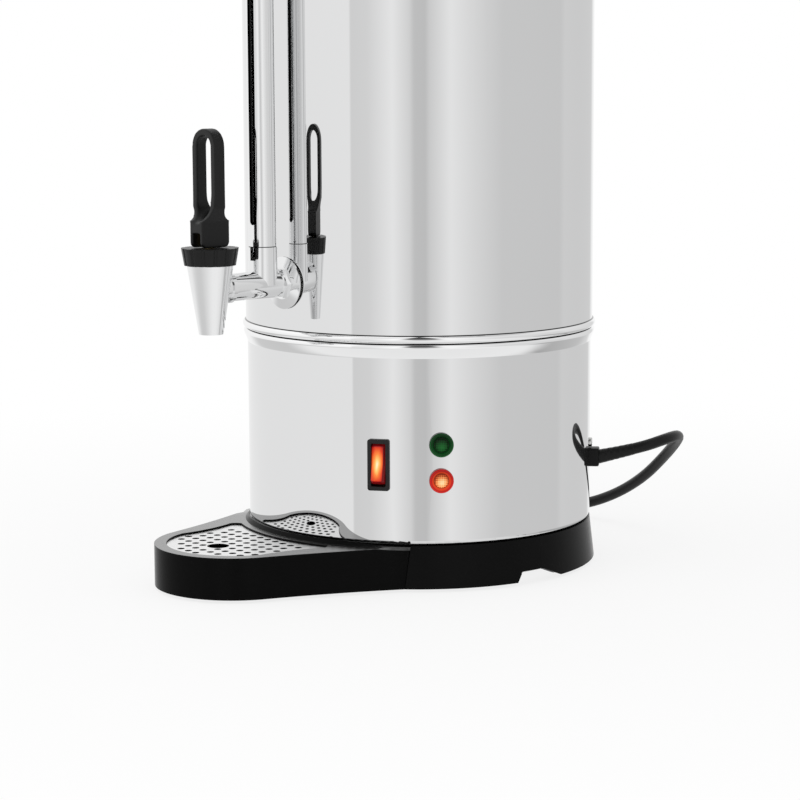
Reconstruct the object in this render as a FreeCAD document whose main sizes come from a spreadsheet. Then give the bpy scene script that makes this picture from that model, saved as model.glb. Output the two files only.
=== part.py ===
import FreeCAD, Part

# Coffee urn of about ten litres: a steel tank over a heater shell, with a tap, a sight glass,
# a percolator basket and a drip tray. Millimetres. The tank's axis is Z, the floor is z = 0 and
# the tap points along -Y. An azimuth is counted from the tap toward +X, in degrees.

import math
import os
from types import SimpleNamespace

import Sketcher

SIZES = {
    # stack of housings
    "foot_proud": 1.5,
    "base_height": 25.4,
    "shell_height": 119.8,
    "tank_height": 303.3,
    # black base ring
    "base_lean": 3.0,
    "skirt_wall": 2.2,
    "rail_inset": 3.3,
    "rail_wall": 3.0,
    "ledge_width": 19.0,
    "ledge_thick": 3.0,
    "channel_roof": 5.0,
    "tray_half_width": 79.2,
    "tray_side_gap": 0.3,
    "boss_radius": 5.0,
    "boss_hole_depth": 12.0,
    "fixing_inset": 13.0,
    "notch_front": 19.7,
    "notch_slope": 3.7,
    "notch_flat_end": 0.4,
    "notch_back": 17.0,
    "notch_height": 6.3,
    "notch_round": 1.5,
    # underside
    "cover_lift": 3.5,
    "cover_thick": 1.0,
    "cover_gap": 0.3,
    "vent_ring": 45.0,
    "vent_radius": 3.0,
    "foot_inner": 72.0,
    "foot_outer": 80.0,
    "screw_radius": 1.9,
    "screw_length": 10.0,
    "screw_head_radius": 4.0,
    "screw_head_height": 2.4,
    "screw_fit": 0.05,
    "flat_gap": 0.02,
    # heater shell
    "shell_radius": 107.0,
    "shell_wall": 0.6,
    "shell_curl": 3.0,
    "shell_flange": 5.0,
    "shell_neck": 4.0,
    "shell_bead_height": 4.6,
    "shell_bead_out": 2.2,
    # tank
    "tank_step": 1.0,
    "tank_wall": 0.7,
    "tank_bead_height": 4.7,
    "tank_bead_out": 1.8,
    "rim_roll": 2.4,
    "bottom_rise": 14.0,
    "bottom_flange": 10.0,
    "bottom_thick": 0.8,
    "well_radius": 26.0,
    "well_depth": 21.2,
    # heaters and their fixings
    "band_thick": 5.2,
    "band_height": 16.0,
    "band_drop": 3.0,
    "ring_radius": 68.0,
    "ring_tube": 3.2,
    "ring_angle": 320.0,
    "lead_radius": 1.8,
    "lead_angle": 3.0,
    "lead_length": 14.0,
    "terminal_radius": 1.0,
    "terminal_sink": 1.0,
    "heater_fit": 0.05,
    "clip_thick": 1.2,
    "clip_width": 8.0,
    "clip_foot": 5.0,
    "clip_room": 0.3,
    "thermostat_ring": 46.0,
    "thermostat_radius": 8.5,
    "thermostat_height": 9.5,
    "cutout_radius": 4.0,
    "cutout_length": 22.0,
    "rod_radius": 2.0,
    "rod_gap": 0.1,
    "rod_nut_radius": 4.0,
    "rod_nut_height": 3.2,
    "rod_end": 2.0,
    "block_length": 40.0,
    "block_width": 18.0,
    "block_height": 15.0,
    "block_ring": 58.0,
    "earth_length": 14.0,
    # switch
    "switch_rise": 48.2,
    "switch_azimuth": 34.9,
    "bezel_width": 14.0,
    "bezel_height": 30.5,
    "bezel_proud": 2.0,
    "bezel_corner": 1.4,
    "switch_width": 12.0,
    "switch_tall": 28.5,
    "switch_depth": 22.0,
    "panel_gap": 0.3,
    "rocker_room_width": 9.5,
    "rocker_room_height": 22.5,
    "rocker_room_depth": 9.2,
    "rocker_gap": 0.2,
    "rocker_tilt": 11.0,
    "rocker_pivot_depth": 4.0,
    "rocker_pin": 1.2,
    "rocker_pin_fit": 0.05,
    "rocker_edge": 1.0,
    "rocker_taper": 0.6,
    # lamps
    "lamp_azimuth": 54.65,
    "green_rise": 60.3,
    "red_rise": 39.0,
    "lamp_radius": 7.25,
    "lamp_proud": 2.6,
    "lamp_dome": 4.2,
    "lamp_groove": 1.1,
    "lamp_body": 5.0,
    "lamp_depth": 18.0,
    "lamp_fit": 0.1,
    "lamp_nut": 7.0,
    "lamp_nut_height": 4.0,
    # cord outlet
    "gland_azimuth": 130.8,
    "gland_rise": 36.1,
    "gland_radius": 5.5,
    "gland_proud": 6.0,
    "gland_flange": 7.5,
    "gland_stem": 4.8,
    "gland_depth": 10.0,
    "gland_nut": 8.0,
    "cord_radius": 3.5,
    "panel_screw_rise": 10.5,
    "panel_screw_radius": 1.6,
    # tap pipe
    "pipe_rise": 32.8,
    "pipe_radius": 8.1,
    "pipe_bore": 4.5,
    "shank_radius": 6.8,
    "shank_inward": 12.0,
    "hex_flats": 17.0,
    "hex_length": 3.0,
    "flange_radius": 15.55,
    "flange_thick": 0.8,
    "flange_dish": 1.5,
    "gasket_gap": 0.1,
    "gasket_thick": 1.5,
    "gasket_radius": 10.0,
    "inner_gasket_radius": 11.0,
    "inner_gasket_thick": 2.0,
    "shank_nut_flats": 20.0,
    "shank_nut_height": 6.0,
    "shank_fit": 0.2,
    # sight glass
    "gauge_out": 16.1,
    "cup_radius": 8.6,
    "cup_height": 22.4,
    "cup_spigot": 4.0,
    "cup_floor": 10.5,
    "cup_slot_width": 4.0,
    "cup_slot_depth": 7.7,
    "gauge_turn": 8.5,
    "glass_radius": 5.0,
    "glass_bore": 3.7,
    "glass_end_gap": 0.1,
    "socket_radius": 6.5,
    "shield_radius": 8.15,
    "shield_wall": 0.7,
    "shield_fit": 0.15,
    "shield_length": 228.0,
    "shield_slot_width": 5.0,
    "shield_slot_start": 13.1,
    "shield_slot_end": 12.0,
    "cap_radius": 8.9,
    "cap_height": 10.0,
    "cap_skirt": 6.0,
    "cap_wall": 2.0,
    "cap_vent": 1.0,
    "seal_height": 6.0,
    "seal_gap": 0.02,
    # tap
    "tap_out": 38.8,
    "spout_drop": 26.2,
    "spout_tip": 7.1,
    "cone_rise": 13.7,
    "cone_radius": 13.5,
    "neck_radius": 12.5,
    "neck_height": 7.0,
    "chamber_radius": 10.2,
    "chamber_low_radius": 7.8,
    "chamber_straight": 14.0,
    "seat_drop": 10.0,
    "seat_depth": 3.0,
    "outlet_bore": 5.0,
    "stub_radius": 6.3,
    "stub_length": 7.3,
    "step_radius": 9.0,
    "step_near": 11.0,
    "step_far": 13.6,
    "bonnet_low_radius": 15.0,
    "bonnet_high_radius": 16.7,
    "bonnet_height": 10.0,
    "bonnet_lift": 0.3,
    "bonnet_grooves": 14,
    "groove_radius": 1.3,
    "stem_radius": 2.5,
    "stem_fit": 0.06,
    "stem_head_width": 6.4,
    "stem_head_depth": 8.0,
    "stem_head_height": 8.0,
    "stem_head_gap": 0.5,
    "cup_valve_radius": 7.3,
    "cup_valve_height": 15.0,
    "seat_gap": 0.15,
    "spring_radius": 4.6,
    "spring_wire": 0.45,
    "spring_turns": 6,
    "pin_radius": 1.5,
    "pin_fit": 0.06,
    # lever
    "lever_gap": 0.3,
    "lever_width": 12.0,
    "lever_depth": 19.5,
    "lever_block": 14.5,
    "lever_cam": 3.0,
    "pin_height": 5.2,
    "lever_slot_width": 7.0,
    "lever_slot_height": 8.4,
    "lever_pocket": 5.5,
    "fork_width": 20.0,
    "fork_arm": 3.8,
    "fork_thick": 8.6,
    "fork_crotch": 7.4,
    "fork_top": 53.7,
    "fork_bend": 8.5,
    "shoulder_radius": 8.0,
    "scoop_tilt": 29.5,
    "pin_cover": 1.4,
    # side handles
    "handle_drop": 65.0,
    "handle_span": 100.0,
    "handle_reach": 40.0,
    "handle_foot": 16.0,
    "handle_bar": 12.0,
    "handle_thick": 16.0,
    "handle_corner": 20.0,
    "handle_round": 3.5,
    "handle_screw_azimuth": 23.0,
    "handle_screw_radius": 2.4,
    "handle_screw_length": 13.0,
    "handle_screw_head": 4.5,
    "handle_screw_head_height": 2.6,
    # lid
    "lid_gap": 0.2,
    "lid_overhang": 3.0,
    "lid_plug_gap": 1.8,
    "lid_plug_depth": 8.0,
    "lid_rise": 13.2,
    "lid_thick": 0.8,
    "knob_foot": 14.0,
    "knob_waist": 9.0,
    "knob_radius": 19.0,
    "knob_height": 24.0,
    "knob_screw_hole": 13.0,
    # percolator
    "tube_radius": 6.0,
    "tube_bore": 5.0,
    "tube_top": 50.0,
    "tube_gap": 0.3,
    "bell_radius": 24.0,
    "bell_height": 6.0,
    "bell_cone": 9.0,
    "bell_wall": 0.9,
    "bell_port": 2.5,
    "collar_radius": 9.0,
    "collar_height": 3.0,
    "basket_radius": 62.0,
    "basket_height": 61.4,
    "basket_wall": 0.6,
    "basket_rim": 2.0,
    "basket_below_rim": 120.0,
    "basket_sleeve": 30.0,
    "sleeve_gap": 0.3,
    "spreader_depth": 3.4,
    "spreader_gap": 0.2,
    "perforation_radius": 1.8,
    "perforation_pitch": 14.0,
    # drip tray
    "tray_gap": 0.3,
    "tray_below_top": 0.5,
    "tray_turn": 3.1,
    "nose_out": 29.7,
    "nose_radius": 49.9,
    "flank_radius": 500.0,
    "flank_angle": 17.2,
    "ridge_height": 3.5,
    "ridge_gap": 0.4,
    "ridge_top": 1.8,
    "ridge_width": 5.0,
    "ridge_root": 1.0,
    "ridge_angle": 96.0,
    "tray_floor": 2.0,
    "grid_border": 7.5,
    "grid_gap": 0.3,
    "grid_thick": 0.8,
    "grid_recess": 1.0,
    "grid_lift_gap": 0.1,
    "grid_ledge": 2.5,
    "grid_corner_x": 48.0,
    "grid_side_length": 27.8,
    "grid_corner_round": 6.0,
    "grid_back_x": 43.5,
    "grid_back": 11.8,
    "grid_side_radius": 90.0,
    "hole_radius": 1.6,
    "hole_pitch": 7.7,
    "hole_row": 7.8,
    "hole_margin": 3.4,
    "drain_radius": 6.5,
    "drain_out": 14.4,
    "pad_radius": 5.0,
    "pad_lift": 0.2,
    # supply cord
    "coil_x": -127.3,
    "coil_y": 142.4,
    "coil_start": -42.2,
    "coil_outer": 46.0,
    "coil_pitch": 8.7,
    "coil_layer": 7.7,
    "plug_x": -196.2,
    "plug_y": 159.1,
    "plug_azimuth": 115.0,
    "plug_radius": 19.0,
    "plug_length": 34.0,
    "plug_rear": 6.5,
    "plug_neck": 20.0,
    "plug_grip": 3.0,
    "plug_groove_width": 6.0,
    "plug_groove_depth": 2.0,
    "plug_flare": 9.0,
    "plug_shoulder": 4.0,
    "plug_edge": 1.0,
    "plug_pin_root": 10.0,
    "plug_root_radius": 1.9,
    "plug_pin_radius": 2.4,
    "plug_pin_length": 19.0,
    "plug_pin_spacing": 19.0,
}

V = FreeCAD.Vector


class Size:
    """A length or angle: its value, and the expression on the sheet that gives it."""

    def __init__(self, value, text=None):
        self.value = float(value)
        self.text = repr(float(value)) if text is None else text

    def __add__(self, other):
        other = size(other)
        return Size(self.value + other.value, f"({self.text} + {other.text})")

    def __radd__(self, other):
        return size(other) + self

    def __sub__(self, other):
        other = size(other)
        return Size(self.value - other.value, f"({self.text} - {other.text})")

    def __rsub__(self, other):
        return size(other) - self

    def __mul__(self, other):
        other = size(other)
        return Size(self.value * other.value, f"({self.text} * {other.text})")

    def __rmul__(self, other):
        return size(other) * self

    def __truediv__(self, other):
        other = size(other)
        return Size(self.value / other.value, f"({self.text} / {other.text})")

    def __neg__(self):
        return size(0) - self


def size(number):
    return number if isinstance(number, Size) else Size(number)


def root(number):
    return Size(math.sqrt(number.value), f"sqrt({number.text})")


def sine(angle):
    angle = size(angle)
    return Size(math.sin(math.radians(angle.value)), f"sin({angle.text})")


def cosine(angle):
    angle = size(angle)
    return Size(math.cos(math.radians(angle.value)), f"cos({angle.text})")


def leg(long_side, short_side):
    """The other leg of a right triangle: how far in a circle's point lies at an offset."""
    return root(long_side * long_side - short_side * short_side)


def bow_radius(half_chord, rise):
    return (half_chord * half_chord + rise * rise) / (rise * 2)


def out_x(radius, azimuth):
    return radius * sine(azimuth)


def out_y(radius, azimuth):
    return -(radius * cosine(azimuth))


document = FreeCAD.newDocument("CoffeeUrn")
sheet = document.addObject("Spreadsheet::Sheet", "Sizes")
for row, (alias, number) in enumerate(SIZES.items(), start=1):
    sheet.set(f"A{row}", alias)
    sheet.set(f"B{row}", str(number))
    sheet.setAlias(f"B{row}", alias)
document.recompute()
s = SimpleNamespace(**{alias: Size(getattr(sheet, alias), f"Sizes.{alias}") for alias in SIZES})

# Radii, reaches and levels that the housings give one another
base_radius = s.shell_radius + s.base_lean
tank_radius = s.shell_radius + s.tank_step
tank_inner = tank_radius - s.tank_wall
shell_inner = s.shell_radius - s.shell_wall
rail_radius = s.shell_radius - s.rail_inset
ledge_inner = s.shell_radius - s.ledge_width
fixing_radius = s.shell_radius - s.fixing_inset
gauge_reach = tank_radius + s.gauge_out
tap_reach = gauge_reach + s.tap_out
base_top = s.foot_proud + s.base_height
seam = base_top + s.shell_height
tank_top = seam + s.tank_height
cover_base = s.foot_proud + s.cover_lift
cover_top = cover_base + s.cover_thick
bottom_top = seam + s.bottom_rise
bottom_under = bottom_top - s.bottom_thick
well_floor = bottom_top - s.well_depth
pipe_level = seam + s.pipe_rise
switch_level = base_top + s.switch_rise
gland_level = base_top + s.gland_rise


def bind(thing, **sizes):
    """Give each property of a document object its size."""
    for name, number in sizes.items():
        thing.setExpression(name, size(number).text)


def new(kind, label, **sizes):
    thing = document.addObject(kind, label)
    thing.Label = label
    bind(thing, **sizes)
    return thing


def place(thing, x=0, y=0, z=0, yaw=0, pitch=0, roll=0):
    """Put an object at a point, turned about X by roll, about Y by pitch, then about Z by yaw."""
    spot = "; ".join(size(number).text for number in (x, y, z))
    turn = "; ".join(size(number).text for number in (yaw, pitch, roll))
    thing.setExpression("Placement", f"placement(vector({spot}); rotation({turn}))")
    return thing


def face_out(thing, azimuth, reach, level):
    """Put an object on the wall: its own Z points out from the tank's axis and its Y up."""
    return place(thing, out_x(reach, azimuth), out_y(reach, azimuth), level, yaw=azimuth, roll=90)


def new_sketch(body, plane="XZ_Plane", lift=0):
    sketch = body.newObject("Sketcher::SketchObject", body.Label + "_sketch")
    support = next(face for face in body.Origin.OriginFeatures if face.Role == plane)
    sketch.AttachmentSupport = [(support, "")]
    sketch.MapMode = "FlatFace"
    sketch.setExpression("AttachmentOffset.Base.z", size(lift).text)
    return sketch


def fix_point(sketch, geometry, point, x, y):
    """Hold one point of a sketch at its distances from the sketch's origin."""
    for kind, number in (("DistanceX", size(x)), ("DistanceY", size(y))):
        index = sketch.addConstraint(Sketcher.Constraint(kind, -1, 1, geometry, point, number.value))
        sketch.setExpression(f"Constraints[{index}]", number.text)


def fix_radius(sketch, geometry, radius):
    index = sketch.addConstraint(Sketcher.Constraint("Radius", geometry, radius.value))
    sketch.setExpression(f"Constraints[{index}]", radius.text)


def left(x, y, radius):
    """A point reached by an arc that turns left; the arc is under half a circle."""
    return x, y, radius, 1


def right(x, y, radius):
    """A point reached by an arc that turns right; the arc is under half a circle."""
    return x, y, radius, -1


def arc_between(start, end, radius, side):
    """The arc from start to end, as the sketch wants it: counterclockwise in its plane."""
    chord = end - start
    half = chord.Length / 2
    across = V(-chord.y, chord.x, 0).normalize()
    centre = (start + end) / 2 + across * (side * math.sqrt(max(radius ** 2 - half ** 2, 0)))
    first, last = (start, end) if side > 0 else (end, start)
    angles = [math.atan2(spot.y - centre.y, spot.x - centre.x) for spot in (first, last)]
    return Part.ArcOfCircle(Part.Circle(centre, V(0, 0, 1), radius), angles[0], angles[1])


def draw_outline(sketch, outline):
    """Draw a closed outline of (x, y) points; left() and right() points end an arc."""
    spots = [V(size(point[0]).value, size(point[1]).value, 0) for point in outline]
    ends = []
    for index, point in enumerate(outline):
        start = spots[index - 1]
        if len(point) == 2:
            edge = sketch.addGeometry(Part.LineSegment(start, spots[index]))
            ends.append((edge, 1, 2))
            continue
        radius = size(point[2])
        edge = sketch.addGeometry(arc_between(start, spots[index], radius.value, point[3]))
        ends.append((edge, 1, 2) if point[3] > 0 else (edge, 2, 1))
        fix_radius(sketch, edge, radius)
    for index, point in enumerate(outline):
        edge, first, last = ends[index]
        following, its_first, its_last = ends[(index + 1) % len(outline)]
        sketch.addConstraint(Sketcher.Constraint("Coincident", edge, last, following, its_first))
        fix_point(sketch, edge, last, point[0], point[1])


def draw_circle(sketch, x, y, radius):
    centre = V(size(x).value, size(y).value, 0)
    edge = sketch.addGeometry(Part.Circle(centre, V(0, 0, 1), size(radius).value))
    fix_point(sketch, edge, 3, x, y)
    fix_radius(sketch, edge, size(radius))


def turned(label, outline, sweep=None):
    """A body turned about its own Z from a half section of (radius, height) points."""
    body = new("PartDesign::Body", label)
    sketch = new_sketch(body)
    draw_outline(sketch, outline)
    turn = body.newObject("PartDesign::Revolution", label + "_turn")
    turn.Profile = sketch
    turn.ReferenceAxis = (sketch, ["V_Axis"])
    turn.Angle = 360
    if sweep is not None:
        turn.Midplane = True
        bind(turn, Angle=sweep)
    return body


def padded(label, height, outline=None, circle=None, holes=(), lift=0, plane="XY_Plane", middle=False):
    """A body padded from an outline or a circle, with round holes; middle pads both ways."""
    body = new("PartDesign::Body", label)
    sketch = new_sketch(body, plane, lift)
    if outline is not None:
        draw_outline(sketch, outline)
    if circle is not None:
        draw_circle(sketch, 0, 0, circle)
    for hole in holes:
        draw_circle(sketch, *hole)
    pad = body.newObject("PartDesign::Pad", label + "_pad")
    pad.Profile = sketch
    if middle:
        pad.SideType = "Symmetric"
    bind(pad, Length=height)
    return body


def rod(label, radius, length):
    return new("Part::Cylinder", label, Radius=radius, Height=length)


def box(label, length, width, height):
    """A box centred on its own Z axis, standing on its own plane."""
    half_length, half_width = size(length) / 2, size(width) / 2
    corners = [(-half_length, -half_width), (half_length, -half_width), (half_length, half_width),
               (-half_length, half_width)]
    return padded(label, height, outline=corners)


def joined(label, pieces):
    whole = new("Part::MultiFuse", label)
    whole.Shapes = pieces
    return whole


def cut(label, stock, tools):
    """Stock with each tool taken out of it."""
    whole = new("Part::Cut", label)
    whole.Base = stock
    whole.Tool = tools[0] if len(tools) == 1 else joined(label + "_tools", tools)
    return whole


def group(label, pieces):
    """Separate like pieces that share one node."""
    whole = new("Part::Compound", label)
    whole.Links = pieces
    return whole


def hexagon(label, flats, height):
    """A hexagonal bar, measured across its flats."""
    bar = new("Part::Prism", label, Circumradius=size(flats) / math.sqrt(3), Height=height)
    bar.Polygon = 6
    return bar


def bead_up(radius, low, high, out):
    """A rolled bead on an upward outline, after its point at (radius, low)."""
    middle, bow = (low + high) / 2, bow_radius((high - low) / 2, out)
    return [left(radius + out, middle, bow), left(radius, high, bow)]


def bead_down(radius, low, high, out):
    """The same bead on a downward outline, after its point at (radius, high)."""
    middle, bow = (low + high) / 2, bow_radius((high - low) / 2, out)
    return [right(radius + out, middle, bow), right(radius, low, bow)]


def pan_screw(label, radius, length, head_radius, head_height):
    """A pan-head screw: the head ends at its own z = 0 and the shank points along +Z."""
    edge = head_height / 2
    return turned(label, [
        (0, -head_height),
        (head_radius - edge, -head_height),
        left(head_radius, -head_height + edge, edge),
        (head_radius, 0),
        (radius, 0),
        (radius, length - radius / 2),
        (radius / 2, length),
        (0, length),
    ])


def rounded(body, radius, wanted):
    """Round those edges of a body's last feature that the test picks."""
    document.recompute()
    feature = body.Tip
    names = [f"Edge{number}" for number, edge in enumerate(feature.Shape.Edges, start=1) if wanted(edge)]
    fillet = body.newObject("PartDesign::Fillet", body.Label + "_rounds")
    fillet.Base = (feature, names)
    bind(fillet, Radius=radius)
    return body


# Base: ring, bottom cover, foot and screws

cover_azimuths = (45, 135, 225, 315)
rod_azimuths = (90, 210, 330)


def base_ring():
    skirt_low = base_radius - s.skirt_wall
    channel_top = base_top - s.channel_roof
    lean = s.base_lean * (s.base_height - s.channel_roof) / s.base_height
    rail_inner = rail_radius - s.rail_wall
    ledge_under = base_top - s.ledge_thick
    ring = turned("base_profile", [
        (ledge_inner, ledge_under),
        (rail_inner, ledge_under),
        (rail_inner, s.foot_proud),
        (rail_radius, s.foot_proud),
        (rail_radius, channel_top),
        (skirt_low - lean, channel_top),
        (skirt_low, s.foot_proud),
        (base_radius, s.foot_proud),
        (s.shell_radius, base_top),
        (ledge_inner, base_top),
    ])
    bosses, tools = [], [tray_bay(), hand_notch()]
    for number, azimuth in enumerate(cover_azimuths):
        spot = out_x(fixing_radius, azimuth), out_y(fixing_radius, azimuth), cover_top
        bosses.append(place(rod(f"boss_{number}", s.boss_radius, ledge_under - cover_top), *spot))
        tools.append(place(rod(f"boss_bore_{number}", s.screw_radius + s.screw_fit, s.boss_hole_depth), *spot))
    for number, azimuth in enumerate(rod_azimuths):
        hole = rod(f"rod_hole_{number}", s.rod_radius + s.rod_gap, s.ledge_thick * 3)
        spot = out_x(fixing_radius, azimuth), out_y(fixing_radius, azimuth)
        tools.append(place(hole, *spot, base_top - s.ledge_thick * 2))
    return cut("base_ring", joined("base_stock", [ring] + bosses), tools)


def tray_bay():
    """What the ring lacks in front, so that the tray can lie against its rail."""
    width = (s.tray_half_width + s.tray_side_gap) * 2
    block = place(box("bay_block", width, base_radius * 2, s.base_height * 2), 0, -base_radius, 0)
    core = rod("bay_core", rail_radius, s.base_height * 2)
    return place(cut("tray_bay", block, [core]), yaw=-s.tray_turn)


def hand_notch():
    """The pair of notches under the base's sides that fingers lift the urn by."""
    low, high = s.foot_proud - 1, s.foot_proud + s.notch_height
    bar = padded("notch_bar", base_radius * 2.2, plane="YZ_Plane", middle=True, outline=[
        (-s.notch_front, low),
        (s.notch_back, low),
        (s.notch_back, s.foot_proud),
        (s.notch_flat_end, high),
        (-s.notch_front + s.notch_slope + s.notch_round, high),
        left(-s.notch_front + s.notch_slope, high - s.notch_round, s.notch_round),
    ])
    core = rod("notch_core", rail_radius - s.rail_wall - s.cover_gap, s.base_height)
    return cut("hand_notch", bar, [core])


def bottom_cover():
    hole = s.screw_radius + s.screw_fit * 4
    holes = [(out_x(fixing_radius, azimuth), out_y(fixing_radius, azimuth), hole)
             for azimuth in cover_azimuths]
    holes += [(out_x(s.vent_ring, azimuth), out_y(s.vent_ring, azimuth), s.vent_radius)
              for azimuth in range(0, 360, 45)]
    radius = rail_radius - s.rail_wall - s.cover_gap
    return padded("bottom_cover", s.cover_thick, circle=radius, holes=holes, lift=cover_base)


def cover_screws():
    screws = []
    for number, azimuth in enumerate(cover_azimuths):
        screw = pan_screw(f"cover_screw_{number}", s.screw_radius, s.screw_length, s.screw_head_radius,
                          s.screw_head_height)
        screws.append(place(screw, out_x(fixing_radius, azimuth), out_y(fixing_radius, azimuth), cover_base))
    return group("cover_screws", screws)


def foot_ring():
    edge = s.foot_proud / 2
    return turned("foot_ring", [
        left(s.foot_inner + edge, 0, edge),
        (s.foot_outer - edge, 0),
        left(s.foot_outer, edge, edge),
        (s.foot_outer, cover_base),
        (s.foot_inner, cover_base),
        (s.foot_inner, edge),
    ])


# Heater shell, tank and what hangs under the tank

def lower_shell():
    wall = s.shell_wall
    curl_centre = s.shell_radius - s.shell_curl
    bead_low = seam - s.shell_bead_height
    neck_top = seam + s.shell_neck
    skin = turned("shell_skin", [
        (curl_centre - s.shell_flange, base_top),
        (curl_centre, base_top),
        left(s.shell_radius, base_top + s.shell_curl, s.shell_curl),
        (s.shell_radius, bead_low),
        *bead_up(s.shell_radius, bead_low, seam, s.shell_bead_out),
        (s.shell_radius, neck_top),
        (shell_inner, neck_top),
        (shell_inner, seam - wall),
        *bead_down(shell_inner, bead_low + wall, seam - wall, s.shell_bead_out),
        (shell_inner, base_top + s.shell_curl),
        right(curl_centre, base_top + wall, s.shell_curl - wall),
        (curl_centre - s.shell_flange, base_top + wall),
    ])
    depth, inside = s.shell_wall * 20, s.shell_radius - s.shell_wall * 10
    window = box("switch_window", s.switch_width + s.panel_gap * 2, s.switch_tall + s.panel_gap * 2, depth)
    tools = [face_out(window, s.switch_azimuth, inside, switch_level)]
    for name, rise in (("green", s.green_rise), ("red", s.red_rise)):
        hole = rod(f"{name}_hole", s.lamp_body + s.lamp_fit, depth)
        tools.append(face_out(hole, s.lamp_azimuth, inside, base_top + rise))
    gland_hole = rod("gland_hole", s.gland_stem + s.lamp_fit, depth)
    tools.append(face_out(gland_hole, s.gland_azimuth, inside, gland_level))
    screw_hole = rod("panel_screw_hole", s.panel_screw_radius + s.screw_fit, depth)
    tools.append(face_out(screw_hole, s.gland_azimuth, inside, gland_level + s.panel_screw_rise))
    return cut("lower_shell", skin, tools)


def tank():
    roll, wall = s.rim_roll, s.tank_wall
    hollow = roll - wall
    roll_centre, roll_level = tank_inner + roll, tank_top - roll
    bead_top = seam + s.tank_bead_height
    skin = turned("tank_skin", [
        (tank_inner, seam),
        (tank_radius, seam),
        *bead_up(tank_radius, seam, bead_top, s.tank_bead_out),
        (tank_radius, roll_level),
        right(roll_centre, roll_level + hollow, hollow),
        right(roll_centre + hollow, roll_level, hollow),
        right(roll_centre, roll_level - hollow, hollow),
        (roll_centre, roll_level - roll),
        left(roll_centre + roll, roll_level, roll),
        left(roll_centre, tank_top, roll),
        left(tank_inner, roll_level, roll),
        (tank_inner, bead_top - wall),
        *bead_down(tank_inner, seam + wall, bead_top - wall, s.tank_bead_out),
    ])
    tools = [face_out(rod("tap_hole", s.shank_radius + s.shank_fit, s.tank_wall * 20), 0,
                      tank_radius - s.tank_wall * 10, pipe_level)]
    for number, azimuth in enumerate(handle_azimuths()):
        hole = rod(f"handle_hole_{number}", s.handle_screw_radius + s.screw_fit * 2, s.tank_wall * 20)
        tools.append(face_out(hole, azimuth, tank_radius - s.tank_wall * 10, handle_level))
    return cut("tank", skin, tools)


def tank_bottom():
    """The plate that closes the tank, with the percolator's well drawn down in its middle."""
    thick, outer = s.bottom_thick, tank_inner
    flange_end = bottom_top - s.bottom_flange
    return turned("tank_bottom", [
        (outer, flange_end),
        (outer, bottom_top),
        (s.well_radius, bottom_top),
        (s.well_radius, well_floor),
        (0, well_floor),
        (0, well_floor - thick),
        (s.well_radius + thick, well_floor - thick),
        (s.well_radius + thick, bottom_under),
        (outer - thick, bottom_under),
        (outer - thick, flange_end),
    ])


def well_heater():
    """The band that boils the water in the well, with its two terminals."""
    inner = s.well_radius + s.bottom_thick + s.heater_fit
    low = bottom_under - s.band_drop - s.band_height
    high = bottom_under - s.band_drop
    corner = s.band_thick / 4
    band = turned("heater_band", [
        (inner, low),
        (inner + s.band_thick - corner, low),
        left(inner + s.band_thick, low + corner, corner),
        (inner + s.band_thick, high - corner),
        left(inner + s.band_thick - corner, high, corner),
        (inner, high),
    ])
    reach = inner + s.band_thick / 2
    terminals = [place(rod(f"band_terminal_{number}", s.terminal_radius, s.lead_length),
                       out_x(reach, azimuth), out_y(reach, azimuth), low - s.lead_length + s.terminal_sink)
                 for number, azimuth in enumerate((165, 195))]
    return joined("well_heater", [band] + terminals)


def warm_heater():
    """The keep-warm element: a ring under the plate, open at the back, its ends turned down."""
    level = bottom_under - s.ring_tube
    ring = turned("warm_ring", sweep=s.ring_angle, outline=[
        left(s.ring_radius, -s.ring_tube, s.ring_tube),
        left(s.ring_radius + s.ring_tube, 0, s.ring_tube),
        left(s.ring_radius, s.ring_tube, s.ring_tube),
        left(s.ring_radius - s.ring_tube, 0, s.ring_tube),
    ])
    place(ring, 0, 0, level, yaw=-90)
    from_back = (360 - s.ring_angle) / 2 + s.lead_angle
    leads = []
    for number, side in enumerate((-1, 1)):
        azimuth = 180 + side * from_back
        lead = rod(f"warm_lead_{number}", s.lead_radius, s.lead_length)
        leads.append(place(lead, out_x(s.ring_radius, azimuth), out_y(s.ring_radius, azimuth),
                           level - s.lead_length))
    return joined("warm_heater", [ring] + leads)


def heater_clips():
    """Hat-shaped straps that hold the ring element up against the plate."""
    room, wall = s.ring_tube + s.clip_room, s.clip_thick
    deep = s.ring_tube * 2 + wall
    outline = [
        (-room - wall - s.clip_foot, -wall),
        (-room - wall, -wall),
        (-room - wall, -deep),
        (room + wall, -deep),
        (room + wall, -wall),
        (room + wall + s.clip_foot, -wall),
        (room + wall + s.clip_foot, 0),
        (room, 0),
        (room, wall - deep),
        (-room, wall - deep),
        (-room, 0),
        (-room - wall - s.clip_foot, 0),
    ]
    clips = []
    for number, azimuth in enumerate((0, 120, 240)):
        clip = padded(f"heater_clip_{number}", s.clip_width, outline=outline, plane="XZ_Plane", middle=True)
        spot = out_x(s.ring_radius, azimuth), out_y(s.ring_radius, azimuth)
        clips.append(place(clip, *spot, bottom_under, yaw=azimuth - 90))
    return group("heater_clips", clips)


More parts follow.
